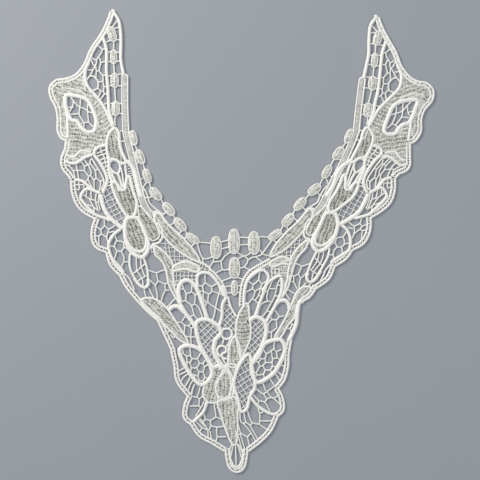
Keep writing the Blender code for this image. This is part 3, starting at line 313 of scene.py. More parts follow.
def satin(lace, path, width, closed=False, height=CORD_HEIGHT, finish="cord"):
    """A satin cord: thread wound over a padding, with a rib for each stitch and rounded ends."""
    points, left, at = even(path, STITCH / 2, closed)
    lace.cords.append((points, width * SQUARE / 2))
    count = len(points)
    stitch = np.arange(count) // 2
    dip = np.arange(count) % 2
    size = (1 + draw.normal(0.0, UNEVEN, count // 2 + 1))[stitch]
    half = width * SQUARE / 2 * size * np.where(dip, DIP[0], 1.0)
    rise = min(height, max(CORD_LEAST, CORD_ROUND * width * SQUARE)) * size * np.where(dip, DIP[1], 1.0)
    if not closed:
        near = np.minimum(1.0, np.minimum(at, at[-1] - at) / (width * SQUARE * END_ROUND))
        ends = np.maximum(END_LEAST, np.sqrt(1 - (1 - near) ** 2))
        half, rise = half * ends, rise * ends
    way = np.stack([left[:, 1], -left[:, 0]], axis=1)
    across = (half[:, None] * np.cos(ARCH))[..., None]
    flat = points[:, None] + across * (left[:, None] + SLANT * way[:, None])
    top = rise[:, None] * np.sin(ARCH) ** ARCH_POWER
    tone = draw.uniform(0.0, 1.0, count // 2 + 1)[stitch]
    grain = np.stack([half[:, None] * ARCH, at[:, None] + 0 * ARCH, tone[:, None] + 0 * ARCH], axis=2)
    lace.tube(np.concatenate([flat, top[..., None]], axis=2), grain, finish, closed)


BAR = 1.6                      # width of a twisted bar, in squares
BAR_STEP = 0.00045             # metres between the points along it
BAR_LAY = 0.0022               # length in which its two strands change places
BAR_MIDDLE = 0.0006            # height of its middle
BAR_OVAL = (0.80, 0.20)        # its thickness over one strand, and what the other adds, as shares
SIX = np.arange(6) * -math.pi / 3 + math.pi     # angles of the points of a hoop round it


def twine(lace, path, width=BAR, middle=BAR_MIDDLE):
    """A bar of two strands twisted round each other."""
    points, left, at = even(path, BAR_STEP)
    turn = math.pi * at / BAR_LAY + draw.uniform(0.0, math.pi)
    reach = width * SQUARE / 2 * (BAR_OVAL[0] + BAR_OVAL[1] * np.abs(np.cos(SIX - turn[:, None])))
    flat = points[:, None] - (reach * np.cos(SIX))[..., None] * left[:, None]
    high = np.maximum(0.0, middle + reach * np.sin(SIX))
    grain = np.stack([at[:, None] + 0 * SIX, reach * SIX, draw.uniform() + 0 * reach], axis=2)
    lace.tube(np.concatenate([flat, high[..., None]], axis=2), grain, "bar")


def bars(lace, rows, place=Vector):
    """A twisted bar along each row."""
    for row in rows:
        twine(lace, curve(row, place))


# Close cloth is rows of short running stitches on a padded ground, with holes where the needle went.
# Their colour is darkened in the needle holes and between ridges: painted shade.
CLOTH_ROW = 0.00088            # from one row of stitches to the next
CLOTH_RUN = 0.0020             # length of a stitch
CLOTH_PARTS = 6                # points along a stitch
CLOTH_HEIGHT = 0.0014          # of the stitches
CLOTH_GROUND = 0.0008          # height of what shows at the bottom of a needle hole
CLOTH_TUCK = 0.0004            # how far the cloth reaches in under a cord
CLOTH_RIB = 0.08               # depth of the valley between two rows, as a share of the height
CLOTH_LOOSE = 0.02             # how much the thread lies higher or lower, as a share of it too
PRICK = 0.00074                # radius of a needle hole
PRICK_STRAY = 0.20             # how far a needle hole strays, as a share of a stitch
PRICK_DEPTH = (0.5, 1.0)       # of the shallowest and the deepest hole, from stitch to ground
STITCH_DULL = 0.78             # tone of the dullest stitch, against the brightest
RIDGE = 0.0030                 # from one ridge of stitches to the next, with painted shade between them
RIDGE_WANDER = (0.0004, 0.011)     # how far a ridge wanders, and over what length
RIDGE_FEW = 0.45               # how much shallower the needle holes are on a ridge
PAINTED_SHADE_BETWEEN_RIDGES = 0.30              # painted shade between ridges: how much darker the colour is there


def inside(spots, outline):
    """Which of the spots lie inside a closed outline."""
    x, y = np.asarray(spots, float).T
    hit = np.zeros(x.shape, bool)
    for (x1, y1), (x2, y2) in zip(outline, [*outline[1:], outline[0]]):
        if y1 != y2:
            hit ^= ((y1 > y) != (y2 > y)) & (x < x1 + (y - y1) * (x2 - x1) / (y2 - y1))
    return hit


def cloth(lace, rows, place=Vector, hand=1, holes=(), finish="cloth", crown=0.0):
    """Close cloth over each outline of a table, except in the holes, which no place moves.

    A panel stops where an earlier one or a cord lies.  Its middle is higher by crown."""
    taken = [on_sheet(curve(hole, closed=True)).tolist() for hole in holes]
    for turn, points in rows:
        outline = on_sheet(curve(points, place, closed=True))
        turned = math.radians(90 + hand * (turn - 90))
        way = np.array((math.cos(turned), -math.sin(turned)))
        aside = np.array((math.sin(turned), math.cos(turned)))
        run, row = CLOTH_RUN / CLOTH_PARTS, CLOTH_ROW / 2
        u = np.arange(math.floor((outline @ way).min() / run), math.ceil((outline @ way).max() / run) + 1)
        v = np.arange(math.floor((outline @ aside).min() / row), math.ceil((outline @ aside).max() / row) + 1)
        u, v = np.meshgrid(u * run, v * row, indexing="ij")
        spots = u[..., None] * way + v[..., None] * aside
        middles = ((spots[1:, 1:] + spots[:-1, :-1]) / 2).reshape(-1, 2)
        kept = inside(middles, outline.tolist())
        for other in taken:
            kept &= ~inside(middles, other)
        taken.append(outline.tolist())
        for line, half in lace.cords:
            low, high = line.min(axis=0) - half, line.max(axis=0) + half
            near = np.flatnonzero(kept & ((middles > low) & (middles < high)).all(axis=1))
            gap = np.linalg.norm(middles[near, None] - line[None, ::2], axis=2).min(axis=1)
            kept[near[gap < half - CLOTH_TUCK]] = False
        height, tone = stitched(u, v)
        swell = [1 - ((w - w.mean()) / np.ptp(w) * 2) ** 2 for w in (u, v)]
        height = height + crown * np.maximum(0.0, swell[0] * swell[1])
        kept = kept.reshape(np.array(u.shape) - 1)
        raise_cloth(lace, spots, height, np.stack([u, v, tone], axis=2), kept, finish)


def stitched(u, v):
    """Height of the cloth and its tone at u along the rows and v across them; the tone differs stitch by
    stitch and is darkened as painted shade in the needle holes and between ridges.
    """
    pair = np.floor(v / CLOTH_ROW / 2).astype(int)
    pair -= pair.min()
    phase = draw.uniform(0.0, CLOTH_RUN, pair.max() + 1)[pair]
    number = np.round((u - phase) / CLOTH_RUN).astype(int)
    low = number.min()
    size = (pair.max() + 1, number.max() - low + 1)
    stray = draw.uniform(-PRICK_STRAY, PRICK_STRAY, size)[pair, number - low] * CLOTH_RUN
    depth = draw.uniform(*PRICK_DEPTH, size)[pair, number - low]
    far_u = u - phase - number * CLOTH_RUN - stray
    far_v = v - (2 * np.floor(v / CLOTH_ROW / 2) + 1) * CLOTH_ROW
    wander = RIDGE_WANDER[0] * np.sin(2 * math.pi * (u / RIDGE_WANDER[1] + draw.uniform()))
    valley = 0.5 - 0.5 * np.cos(2 * math.pi * (v + wander) / RIDGE)
    pit = depth * (1 - RIDGE_FEW * (1 - valley)) * np.exp(-(far_u ** 2 + far_v ** 2) / PRICK ** 2)
    rib = np.abs(np.sin(math.pi * v / CLOTH_ROW))
    loose = draw.normal(0.0, CLOTH_LOOSE, u.shape)
    height = CLOTH_HEIGHT * (1 - CLOTH_RIB + CLOTH_RIB * rib + loose)
    lit = draw.uniform(STITCH_DULL, 1.0, size)[pair, number - low]
    # The stitch's own tone, darkened as painted shade in the needle holes and between ridges.
    return CLOTH_GROUND + (height - CLOTH_GROUND) * (1 - pit), lit * (1 - pit) * (1 - PAINTED_SHADE_BETWEEN_RIDGES * valley)


def raise_cloth(lace, spots, height, grain, kept, finish):
    """The kept cells of a grid as cloth with a flat underside and walls at its edges."""
    count, width = spots.shape[:2]
    number = np.arange(count * width).reshape(count, width)
    corners = np.stack([number[:-1, :-1], number[1:, :-1], number[1:, 1:], number[:-1, 1:]], axis=2)
    top = corners[kept]
    below = count * width
    sheets = [top, (top + below)[:, ::-1]]
    room = np.pad(kept, 1)
    # The step to each neighbour of a cell, and the two corners that a wall towards it stands on.
    for (i, j), (a, b) in (((0, -1), (0, 1)), ((1, 0), (1, 2)), ((0, 1), (2, 3)), ((-1, 0), (3, 0))):
        beside = room[1 + i:count + i, 1 + j:width + j]
        rim = corners[kept & ~beside]
        sheets.append(np.stack([rim[:, b], rim[:, a], rim[:, a] + below, rim[:, b] + below], axis=1))
    faces = np.concatenate(sheets)
    used, faces = np.unique(faces, return_inverse=True)
    points = np.concatenate([np.dstack([spots, height]), np.dstack([spots, 0 * height])]).reshape(-1, 3)
    both = np.concatenate([grain, grain]).reshape(-1, 3)
    lace.add(points[used], both[used], faces.reshape(-1, 4).tolist(), finish)


BEAD_CROWN = 0.0009            # how far a bead's middle rises over close cloth
BEAD_RIM = 1.7                 # width of the cord round a bead, in squares
OVAL_POWER = 0.85              # 1 is an ellipse, less is boxier
OVAL_POINTS = 28               # points round it
TIE_INSET = 0.08               # how far from a bead's ends its side bars leave, against its length


def beads(lace, rows, place=Vector):
    """A padded oval for each row: a narrow satin rim round a crown of stitched cloth.

    They are given back as centre, way along the bead, width and length."""
    made = []
    for across, down, width, length, lean in rows:
        middle = Vector((across, down))
        arm = Vector((math.sin(math.radians(lean)), math.cos(math.radians(lean)))) * length
        centre, axis = place(middle), (place(middle + arm) - place(middle - arm)).normalized()
        aside = Vector((axis.y, -axis.x))
        rim = []
        for k in range(OVAL_POINTS):
            angle = 2 * math.pi * k / OVAL_POINTS
            x, y = (math.copysign(abs(way) ** OVAL_POWER, way) for way in (math.cos(angle), math.sin(angle)))
            rim.append(centre + aside * ((width - BEAD_RIM) / 2 * x) + axis * ((length - BEAD_RIM) / 2 * y))
        satin(lace, rim, BEAD_RIM, closed=True)
        turn = math.degrees(math.atan2(axis.y, axis.x))
        cloth(lace, [(turn, row_of(rim))], finish="bead", crown=BEAD_CROWN)
        made.append((centre, axis, width, length))
    return made


def tie(lace, laid, lines):
    """Short bars from each bead to the next one and to the lines beside it."""
    reach = [(centre - axis * (length / 2 - BAR), centre + axis * (length / 2 - BAR))
             for centre, axis, width, length in laid]
    for above, under in zip(reach, reach[1:]):
        twine(lace, [above[1], under[0]])
    for head, tail in reach:
        for end in (head.lerp(tail, TIE_INSET), tail.lerp(head, TIE_INSET)):
            for line in lines:
                twine(lace, [end, min(line, key=lambda point: (point - end).length)])


EDGE_CORDS = (2.7, 2.3)        # width of the outer and the inner cord of an edge, in squares
CROSS_WIDTH = 1.15             # width of a cross stitch, in squares
CROSS_MIDDLE = 0.0012          # height of its middle
GROOVE_GROUND = 0.0008         # height of the thread at the bottom of a closed groove


def shifted(path, far):
    """A draft path moved far squares to its left, or to its right where far is below 0."""
    moved = []
    for before, point, after in zip(path[:1] + path, path, path[1:] + path[-1:]):
        ahead = (after - before).normalized()
        moved.append(point + Vector((ahead.y, -ahead.x)) * far)
    return moved


def edging(lace, path, outer, groove, ground, least, most):
    """Two satin cords side by side, with cross stitches over the groove between them.

    outer is 1 where the outer cord lies on the right of the path, and -1 where it lies on the left."""
    wide, narrow = EDGE_CORDS
    satin(lace, shifted(path, -outer * (groove + wide) / 2), wide)
    satin(lace, shifted(path, outer * (groove + narrow) / 2), narrow)
    if ground:
        satin(lace, path, 2 * groove, height=GROOVE_GROUND, finish="bar")
    run = 0.0
    for start, end in zip(path, path[1:]):
        run -= (end - start).length
        if run < 0.0:
            run += draw.uniform(least, most)
            ahead = (end - start).normalized()
            reach = Vector((ahead.y, -ahead.x)) * (groove + CROSS_WIDTH) / 2
            twine(lace, [end - reach, end + reach], CROSS_WIDTH, CROSS_MIDDLE)


RAIL_WIDTH = 7.4               # of the whole rail, in squares
RAIL_CORDS = 1.7               # width of its rolled edges
RAIL_HEIGHT = 0.0013           # of its middle
# Of each kind of edge: width of its groove, in squares, whether the groove has a ground of thread,
# and the least and the most way from one cross stitch to the next.
GROOVES = {"edge": (0.7, True, 4.0, 9.0), "open": (1.0, False, 2.2, 3.8),
           "dashed": (0.65, False, 2.6, 5.5)}


def rail(lace, path):
    """A flat satin band with rolled edges."""
    satin(lace, path, RAIL_WIDTH - RAIL_CORDS, height=RAIL_HEIGHT, finish="rail")
    for way in (-1, 1):
        satin(lace, shifted(path, way * (RAIL_WIDTH - RAIL_CORDS) / 2), RAIL_CORDS)


def cords(lace, rows, place=Vector, hand=1):
    """Every cord of a table, each in its own kind of stitching."""
    for kind, *row in rows:
        path = curve(row, place)
        if kind in GROOVES:
            edging(lace, path, hand, *GROOVES[kind])
        elif kind == "rail":
            rail(lace, path)
        else:
            satin(lace, path, WIDTH[kind], finish=THREAD_OF[kind])


FILAMENT = (1 / 0.0011, 1 / 0.00009, 1.0)    # grain in units of the thread's fine filaments


def thread(name, low, high, roughness, sheen, weights=(0.2, 0.3, 0.5), base=0.0, patch=300.0):
    """Ivory thread from a low colour to a high one.

    The mix of the two is base, and then by weights its filaments, its patches, so many to the metre,
    and the tone that it has stitch by stitch, which in cloth also carries painted shade."""
    def links(shade):
        grain = shade.node("ShaderNodeAttribute", {"attribute_name": "grain"}, {}, "Vector")
        tone = shade.node("ShaderNodeSeparateXYZ", {}, {0: grain}, "Z")
        fine = shade.node("ShaderNodeVectorMath", {"operation": "MULTIPLY"}, {0: grain, 1: FILAMENT})
        filament = shade.node("ShaderNodeTexNoise", {}, {"Vector": fine, "Scale": 1.0, "Detail": 2.0})
        place = shade.node("ShaderNodeTexCoord", {}, {}, "Object")
        cloud = shade.node("ShaderNodeTexNoise", {}, {"Vector": place, "Scale": patch, "Detail": 3.0})
        bump = shade.node("ShaderNodeBump", {}, {"Height": filament, "Strength": 0.35, "Distance": 0.00012})
        mix = base + weights[0] * filament + weights[1] * cloud + weights[2] * tone
        return {"Base Color": mix.between(low, high), "Normal": bump}

    fixed = {"Roughness": roughness, "Sheen Weight": sheen, "Specular IOR Level": 0.45}
    return principled(name, fixed, links)


# Low and high colour, roughness and sheen, and for rougher work also weights, base and patches.
FINISHES = {
    "cord": thread("satin_thread", (0.78, 0.77, 0.72), (0.95, 0.94, 0.90), 0.42, 0.25),
    "line": thread("line_thread", (0.76, 0.75, 0.70), (0.93, 0.92, 0.88), 0.45, 0.25),
    "bar": thread("bar_thread", (0.76, 0.75, 0.70), (0.90, 0.89, 0.84), 0.50, 0.2),
    "rail": thread("rail_thread", (0.24, 0.24, 0.22), (0.78, 0.78, 0.73), 0.55, 0.2,
                   (0.2, 0.9, 0.3), -0.2, 420.0),
    # Bead, cloth and petal are greyer than the cords, and their near-black low colours and low bases paint
    # shade into the needle holes and between ridges.
    "bead": thread("bead_thread", (0.06, 0.06, 0.05), (0.84, 0.84, 0.77), 0.50, 0.2,
                   (0.1, 1.0, 0.9), -0.42, 500.0),
    "cloth": thread("cloth_thread", (0.02, 0.02, 0.017), (0.74, 0.75, 0.68), 0.62, 0.2,
                    (0.1, 1.0, 1.2), -0.65, 420.0),
    # Petal is cloth darker overall, with stronger painted shade in its needle holes.
    "petal": thread("petal_thread", (0.01, 0.01, 0.008), (0.68, 0.69, 0.61), 0.62, 0.2,
                    (0.1, 1.0, 1.3), -0.79, 420.0),
}

# Kind of cord, and the points along it.
TIP_CORDS = [
    ("edge", 112.5,12, 109,22, 102,36, 92.5,50, 86,65, 77,76, 66,81),
    ("cord", 113.5,12, 119,21, 121,35, 121,50, 121,60, 124,76),
    ("cord", 103,37, 106.6,50, 106.6,70, 108,88, 108.7,102, 109.3,111, 112,120, 114,126),
    ("rail", 125,75, 125,105, 126,130),
    ("fine", 122.3,76, 125,74.8, 127.8,76.2),
]
# Across and down to the bead's centre, its width, its length and its lean in degrees.
TIP_BEADS = [(112.2, 34.3, 9, 16.5, 16), (113.7, 57, 7.6, 15.4, 0), (114.7, 80.6, 8.8, 15.4, 0),
             (115.8, 108.6, 9, 15.2, 0)]
TIP_BARS = [
    (98.5,46, 102.5,49.3, 105.5,49), (102.5,49.3, 101.4,53.3, 98.7,56.7),
    (98.7,56.7, 100.5,60, 101.3,62.3, 105.3,61.6), (98.7,56.7, 96.6,60.7),
    (92,57.7, 94.5,59.8, 96.6,60.7, 96.2,64.5, 95.2,66), (91,59.5, 93.5,64.8, 95.2,66, 93,70.3, 90.3,76),
    (85.5,69.6, 92.6,70.4), (95.6,66, 96.6,71.8, 96.2,75.5, 96.5,79), (96.6,71.8, 99.3,70.6),
    (101.2,62.4, 99.3,70.6, 101.5,73.7, 103,75.3, 106.5,75.2), (103,75.3, 103.2,79, 102.9,81.6, 98.3,82),
    (102.9,81.6, 104.1,87.5, 103.3,90.8, 101,91.3, 98.2,88), (104.1,87, 107.3,86.3), (101,91.3, 98.4,98),
    (103.3,90.8, 104.8,94, 107.6,94.3), (104.8,94, 102.5,97, 100.3,100), (104,104.5, 108,103.3),
    (115.8,116.4, 115,120, 115.5,126), (118.5,19.5, 112.6,27),
]
TIP_LOOP = (86.5,80.5, 90,76.3, 93.7,76.6, 96.5,79.2, 98.3,82, 98,87.8, 95.5,89.8, 91.5,91)
# Of the knot at the very tip: place, how far it runs up and down from there, and width, in squares.
KNOT_PLACE, KNOT_UP, KNOT_DOWN, KNOT_WIDTH = (113.4, 11.2), 2, 1.5, 5.6
for side, place, hand in SIDES:
    lace = Lace(side + "_tip")
    cords(lace, TIP_CORDS, place, hand)
    knot = place(KNOT_PLACE)
    satin(lace, [knot - Vector((0, KNOT_UP)), knot + Vector((0, KNOT_DOWN))], KNOT_WIDTH)
    bars(lace, TIP_BARS, place)
    twine(lace, curve(TIP_LOOP, place), WIDTH["thin"])
    laid = beads(lace, TIP_BEADS, place)
    tie(lace, laid, [curve(TIP_CORDS[1][1:], place) + curve(TIP_CORDS[3][1:], place),
                     curve(TIP_CORDS[2][1:], place)])
    lace.finish_off(FINISHES)

# ---------------------------------------------------------------- the lobes
# The rounded lobe on each shoulder is close cloth, worked in four panels whose rows run different
# ways.  Satin cords edge it, and a heavy one rings the open eye in it, which holds a small net.
def rings(lace, rows, place=Vector):
    """Every closed cord of a table."""
    for kind, *row in rows:
        satin(lace, curve(row, place, closed=True), WIDTH[kind], closed=True, finish=THREAD_OF[kind])


LOBE_CORDS = [
    ("edge", 69.5,79.6, 64,81, 57,82, 51.5,88, 52.5,97, 57.5,107, 59.5,118, 59.5,130, 62.5,137, 68,139),
    ("cord", 89.5,62, 86,69, 85.3,77, 88,86.5, 96,96, 104,107, 110,120, 114,128),
    ("cord", 65.5,104, 67.5,118, 68,130, 68,139),
]
# What differs from side to side, each side in its own draft points.
LOBE_LINES = {
    "left": [
        ("cord", 64.5,160.5, 70,163, 75.5,163.2, 80,161, 84,158, 88.5,156, 93,155),
        ("hem", 66.5,154.5, 71,157, 75,156.5, 78,153.2, 81,151, 86,151.2, 92,152),
        ("thin", 61,88, 71,89, 80,90.3, 84.7,95, 88,100, 91.6,106, 95.6,113, 98.3,122, 98.5,127),
        ("thin", 82.5,76, 84,84, 86,92),
    ],
    "right": [
        ("cord", 381,158.5, 387,156.7, 392,158.7, 397,163, 402,165.3, 408,163.5),
        ("hem", 384,153, 390,152, 395.5,152.3, 398.5,156.5, 402,159.7, 406,160.3),
        ("thin", 396,103.5, 401,98.5, 408,95.5, 416,94, 424,95),
        ("thin", 411.5,137, 412,130, 410,126),
        ("thin", 397,134, 402.5,129.8, 408,127.6),
    ],
}
LOBE_EYE = {
    "left": (66.5,95.5, 73,95.5, 80.5,97, 87.5,100.5, 92.5,108.5, 96,118, 96.3,125, 93.5,131.3, 87,132,
             81.5,127.5, 77,121.5, 71.5,119.8, 68,113, 65.5,104),
    "right": (417,100.5, 415,110, 411.5,119, 408.5,123, 403,124.8, 398.5,128.5, 395,133.5, 387,134, 384,129,
              388,117, 392.5,107, 398.5,102.5, 407,100.3),
}
# Turn of the rows of stitches in degrees, and the points of the outline.
LOBE_CLOTH = [
    (20, (66,81, 76,77.5, 84.5,68, 87,84, 96,96, 88,101, 80,97, 66,96, 52,97, 50,90, 56,81)),
    (85, (52,97, 67,95, 67,106, 69,118, 68,139, 60,133, 57,118, 55,106)),
    (150, (96,96, 104,107, 114,128, 104,134, 94,130, 96,118, 91,107, 87,100)),
    (8, (68,118, 85,120, 114,127, 108,138, 107,144.5, 99,146.5, 95,150, 93.5,156, 84,158, 75,163, 65,161,
         67,140)),
]
EYE_BARS = {
    "left": [
        (70.5,96.8, 73.7,101, 78.5,106.4, 84.2,108.7, 89,112, 92.5,113),
        (73.8,101.2, 72.5,106.8, 68.6,113.5), (67.5,107.5, 73.8,107.5),
        (80.6,99, 80.5,104.5, 79.2,113.6, 80,116, 84,122.3), (70.5,114.5, 75,114.4, 79.2,113.6),
        (87.8,103.5, 87.7,111.3, 88.8,122), (84,122.8, 88.8,122.5, 91.5,125.3, 94.5,127.5),
        (84.2,122.8, 84.4,127), (83.8,122.5, 81.5,124),
    ],
    "right": [
        (390.5,115.3, 395.5,113.5, 402,111.5, 406,107, 411,101.5),
        (396,104, 396,113.5, 391.7,124, 386.5,128.5), (391.7,124, 395.5,125.3, 397.5,127),
        (403,102, 402.5,111.5, 401.5,117.2, 395.5,125.3), (401.5,117.2, 409.5,118),
        (407.3,105.5, 408,112.5, 410.3,116), (408,112.5, 413,111.3), (409,101, 410.5,103.5),
    ],
}
for side, place, hand in SIDES:
    lace = Lace(side + "_lobe")
    cords(lace, LOBE_CORDS, place, hand)
    cords(lace, LOBE_LINES[side], hand=hand)
    rings(lace, [("heavy", *LOBE_EYE[side])])
    cloth(lace, LOBE_CLOTH, place, hand, [LOBE_EYE[side]])
    bars(lace, EYE_BARS[side])
    lace.finish_off(FINISHES)

# ---------------------------------------------------------------- the shoulders
# Two petals of close cloth in satin cords lie below each lobe, with fine nets and a ladder of bars
# beside them.  The rail runs past them down the neck, with four padded beads at its side.
VEIN = 0.85                    # width of the thin threads of a fine net, in squares
VEIN_MIDDLE = 0.0005           # height of their middle
VEIN_GAP = (0.86, 1.14)        # least and most spacing, against the mean
VEIN_BEND, VEIN_STRAY = 3.0, 0.3    # squares from one bend to the next, and how far it strays


def veins(lace, rows, place=Vector, hand=1):
    """Fine net: thin threads over each outline, at a mean spacing and at one or more turns."""
    for spacing, turns, row in rows:
        outline = [place(point) for point in zip(row[::2], row[1::2])]
        for turn in turns:
            turned = math.radians(90 + hand * (turn - 90))
            along = Vector((math.cos(turned), math.sin(turned)))
            aside = Vector((-along.y, along.x))
            offsets = [point.dot(aside) for point in outline]
            far = math.ceil(min(offsets) / spacing) * spacing
            while far < max(offsets):
                hits = []
                for p1, p2 in zip(outline, outline[1:] + outline[:1]):
                    d1, d2 = p1.dot(aside) - far, p2.dot(aside) - far
                    if (d1 > 0) != (d2 > 0):
                        hits.append(p1.lerp(p2, d1 / (d1 - d2)).dot(along))
                hits.sort()
                for start, end in zip(hits[::2], hits[1::2]):
                    if end - start > 2 * VEIN:
                        parts = max(1, round((end - start) / VEIN_BEND))
                        stray = [0.0, *draw.normal(0.0, VEIN_STRAY, parts - 1), 0.0]
                        line = [aside * (far + stray[k]) + along * (start + (end - start) * k / parts)
                                for k in range(parts + 1)]
                        twine(lace, curve(row_of(line)), VEIN, VEIN_MIDDLE)
                far += spacing * draw.uniform(*VEIN_GAP)


SHOULDER_CORDS = [
    ("open", 68,139, 67,149, 63.8,157, 63.3,164, 65.5,169.5, 69.5,174, 73,179.5),
    ("rail", 126,128, 126.5,135, 132,157, 137.5,180, 144,204, 153,217),
    ("cord", 94,155, 98.7,160.6, 103.4,168.3, 106.8,176.5, 106.8,183, 102.5,193.7),
    ("thin", 91.5,157.5, 94,162, 97.5,167.7, 102.8,177, 104,183, 101,191),
    ("cord", 74,179.5, 80,180.5, 84.5,182.5, 92,189.5, 97,192, 101,194),
    ("heavy", 101,194, 102.7,204, 107,213.5, 114,221.5, 124,229.5),
    ("cord", 121,229, 123.5,227.5, 125,224),
    ("heavy", 124.5,160, 130.3,164, 134,169.5, 136,176, 137.5,183, 139.3,190, 142,198),
    ("cord", 94,156, 95,150.5, 99,147, 106.5,145),
    ("thin", 114.3,131, 116,137, 119,141.5),
    ("cord", 107,150, 109,162, 109.5,172, 113,185),
    ("fine", 110.5,170, 113.5,177, 116.5,184, 119.5,192),
    ("fine", 117.5,172.5, 120,179, 122.5,188),
    ("thin", 119.7,164, 122,172, 123.2,180, 124,188),
    ("fine", 125,162, 126,172, 127,180, 126,186),
]
SHOULDER_RINGS = [
    ("cord", 114.5,128.5, 108.3,136, 107,148, 109.5,158.5, 116,160, 121.5,163.5, 125.8,161.5, 121.3,150,
     119.6,141, 118.8,133),
    ("cord", 112,184, 113.5,190, 117,199, 122,208.5, 127,215.5, 132,217.5, 136,211, 136.8,202, 133.8,193,
     131.6,184, 130,177.5, 127.5,176.5, 126.2,183, 125,189.5, 121,189.5, 118,185, 114.5,181.5),
    ("fine", 109,164, 113,160.5, 118,162, 120.3,167, 118.5,173, 115,173, 111,169),
]
SHOULDER_CLOTH = [(80, SHOULDER_RINGS[0][1:]), (70, SHOULDER_RINGS[1][1:])]
# Spacing in squares, turns of the threads in degrees, and the points of the outline.
SHOULDER_VEINS = [
    (5.2, (62, 152), (106,188, 113,185, 118,199, 125,212, 130,219, 124,229, 112,219, 104,207, 101,194)),
    (2.4, (165,), (126,164, 131,165, 135,172, 138,185, 142,200, 138,200, 132,185, 128,172)),
]
SHOULDER_BARS = [
    (66,165, 69.7,166.3, 73.4,171, 75.2,178), (70,164, 69.7,166.3), (73.4,171, 77.5,170.6, 84.5,171),
    (75.8,163.5, 77.6,170.6, 78.8,178.5),
    (80.5,160.5, 84.6,166.4, 84.8,171, 88.5,176.1, 87.7,180, 85.8,181.3),
    (83.3,158.5, 88,165, 91.3,171.5, 90.8,176), (84.7,166.6, 90.5,164),
    (90.8,159, 90.5,164, 95.3,170.4, 96.3,178), (95.3,170.6, 98,169.3),
    (88.6,176.2, 90.9,176, 94.2,180, 96.3,178), (94.2,180, 94.3,189.5), (88.3,179.5, 90.2,184, 93,189),
    (96.4,178.3, 100.5,182, 100.6,185.5, 99.2,192), (100.5,181.7, 103.3,180.2),
    # the ladder in the window beside them
    (100.5,147.5, 101.7,152.5, 104.6,157.6, 105.4,162, 106.2,167), (96.5,153.6, 101.5,151.7),
    (97.3,156.4, 102.3,154.6), (99.7,160.8, 104.6,158.3), (101.5,164.1, 105.4,162.2),
    (103.5,167.8, 106.5,166.6), (104.6,170.6, 108.5,169.2), (105.6,173.4, 109.5,172), (106.4,176.6, 111,175),
    (107,179.6, 112,178.2), (106.5,183, 113,181.4), (106,186.4, 113,184.6), (101.5,151.2, 106,149.8),
    (103,154.9, 107,153.2), (104.8,159, 109,157.3), (105.6,162.4, 109.5,161), (106.2,166.8, 109.5,165.5),
    # from the upper petal and the lower beads to the rail
    (120,131.3, 124,130.8), (120,141.5, 125.5,141.2), (142.8,178.6, 139.5,179.6), (147,182.5, 143,187.3),
    (143.3,196.5, 148.3,198, 152,196.6),
]
SHOULDER_BEADS = [(133.5, 138, 8, 16, 12), (140.3, 157, 9, 16, 22), (147.2, 176, 8.5, 15.5, 18),
                  (155.8, 194, 9.5, 16, 42)]
for side, place, hand in SIDES:
    lace = Lace(side + "_shoulder")
    cords(lace, SHOULDER_CORDS, place, hand)
    rings(lace, SHOULDER_RINGS, place)
    cloth(lace, SHOULDER_CLOTH, place, hand, finish="petal")
    veins(lace, SHOULDER_VEINS, place, hand)
    bars(lace, SHOULDER_BARS, place)
    laid = beads(lace, SHOULDER_BEADS, place)
    tie(lace, laid[:2], [curve(SHOULDER_CORDS[1][1:], place)])
    tie(lace, laid[1:], [])
    lace.finish_off(FINISHES)

# ---------------------------------------------------------------- the flanks
# The scalloped outer part: a double satin cord along its edge, and behind it large uneven nets of
# twisted bars, hung between a full petal, a loop and a long leaf that leads down to the bib.
FLANK_CORDS = [
    ("open", 73,180, 74,192, 78,203, 85,211, 97.5,218),
    ("open", 97.5,218, 94,229, 94,240, 98.5,247, 108,251),
    ("open", 108,251, 112,264, 122,275),
    ("dashed", 121,273.5, 127.5,286, 139,300, 150,311.5, 160,320),
    ("cord", 93,190, 86,189.3, 81,196, 82.5,201, 91.5,211, 97,215.5, 105,218.3, 111,221),
    ("cord", 121,229.5, 115.5,233, 110.5,239.5, 108.7,246, 110,253, 113,259.5, 121.5,269, 124,273.5),
    ("cord", 126.5,239, 131,247, 136.5,251, 142.5,251, 146,246, 146.3,237),
    ("thin", 121,270.5, 129,278, 132,284, 135,290.5),
    ("cord", 134,278, 140,285.3, 145,287.5, 148.5,284, 148,278),
]
PETAL = (126.5,219.5, 125,228, 125.7,238, 128.3,247, 134.5,254.5, 142,257, 147.3,251.5, 148.3,243.5,
         145.8,234.5, 142,225.5, 137.5,218.5, 131.5,217.5)
LOOP = (131,254, 129.7,260, 129.8,266, 132,273, 135.5,279, 140,285, 145,287.5, 148.5,284, 148.3,279,
        147.5,270, 145.3,262, 142,257)
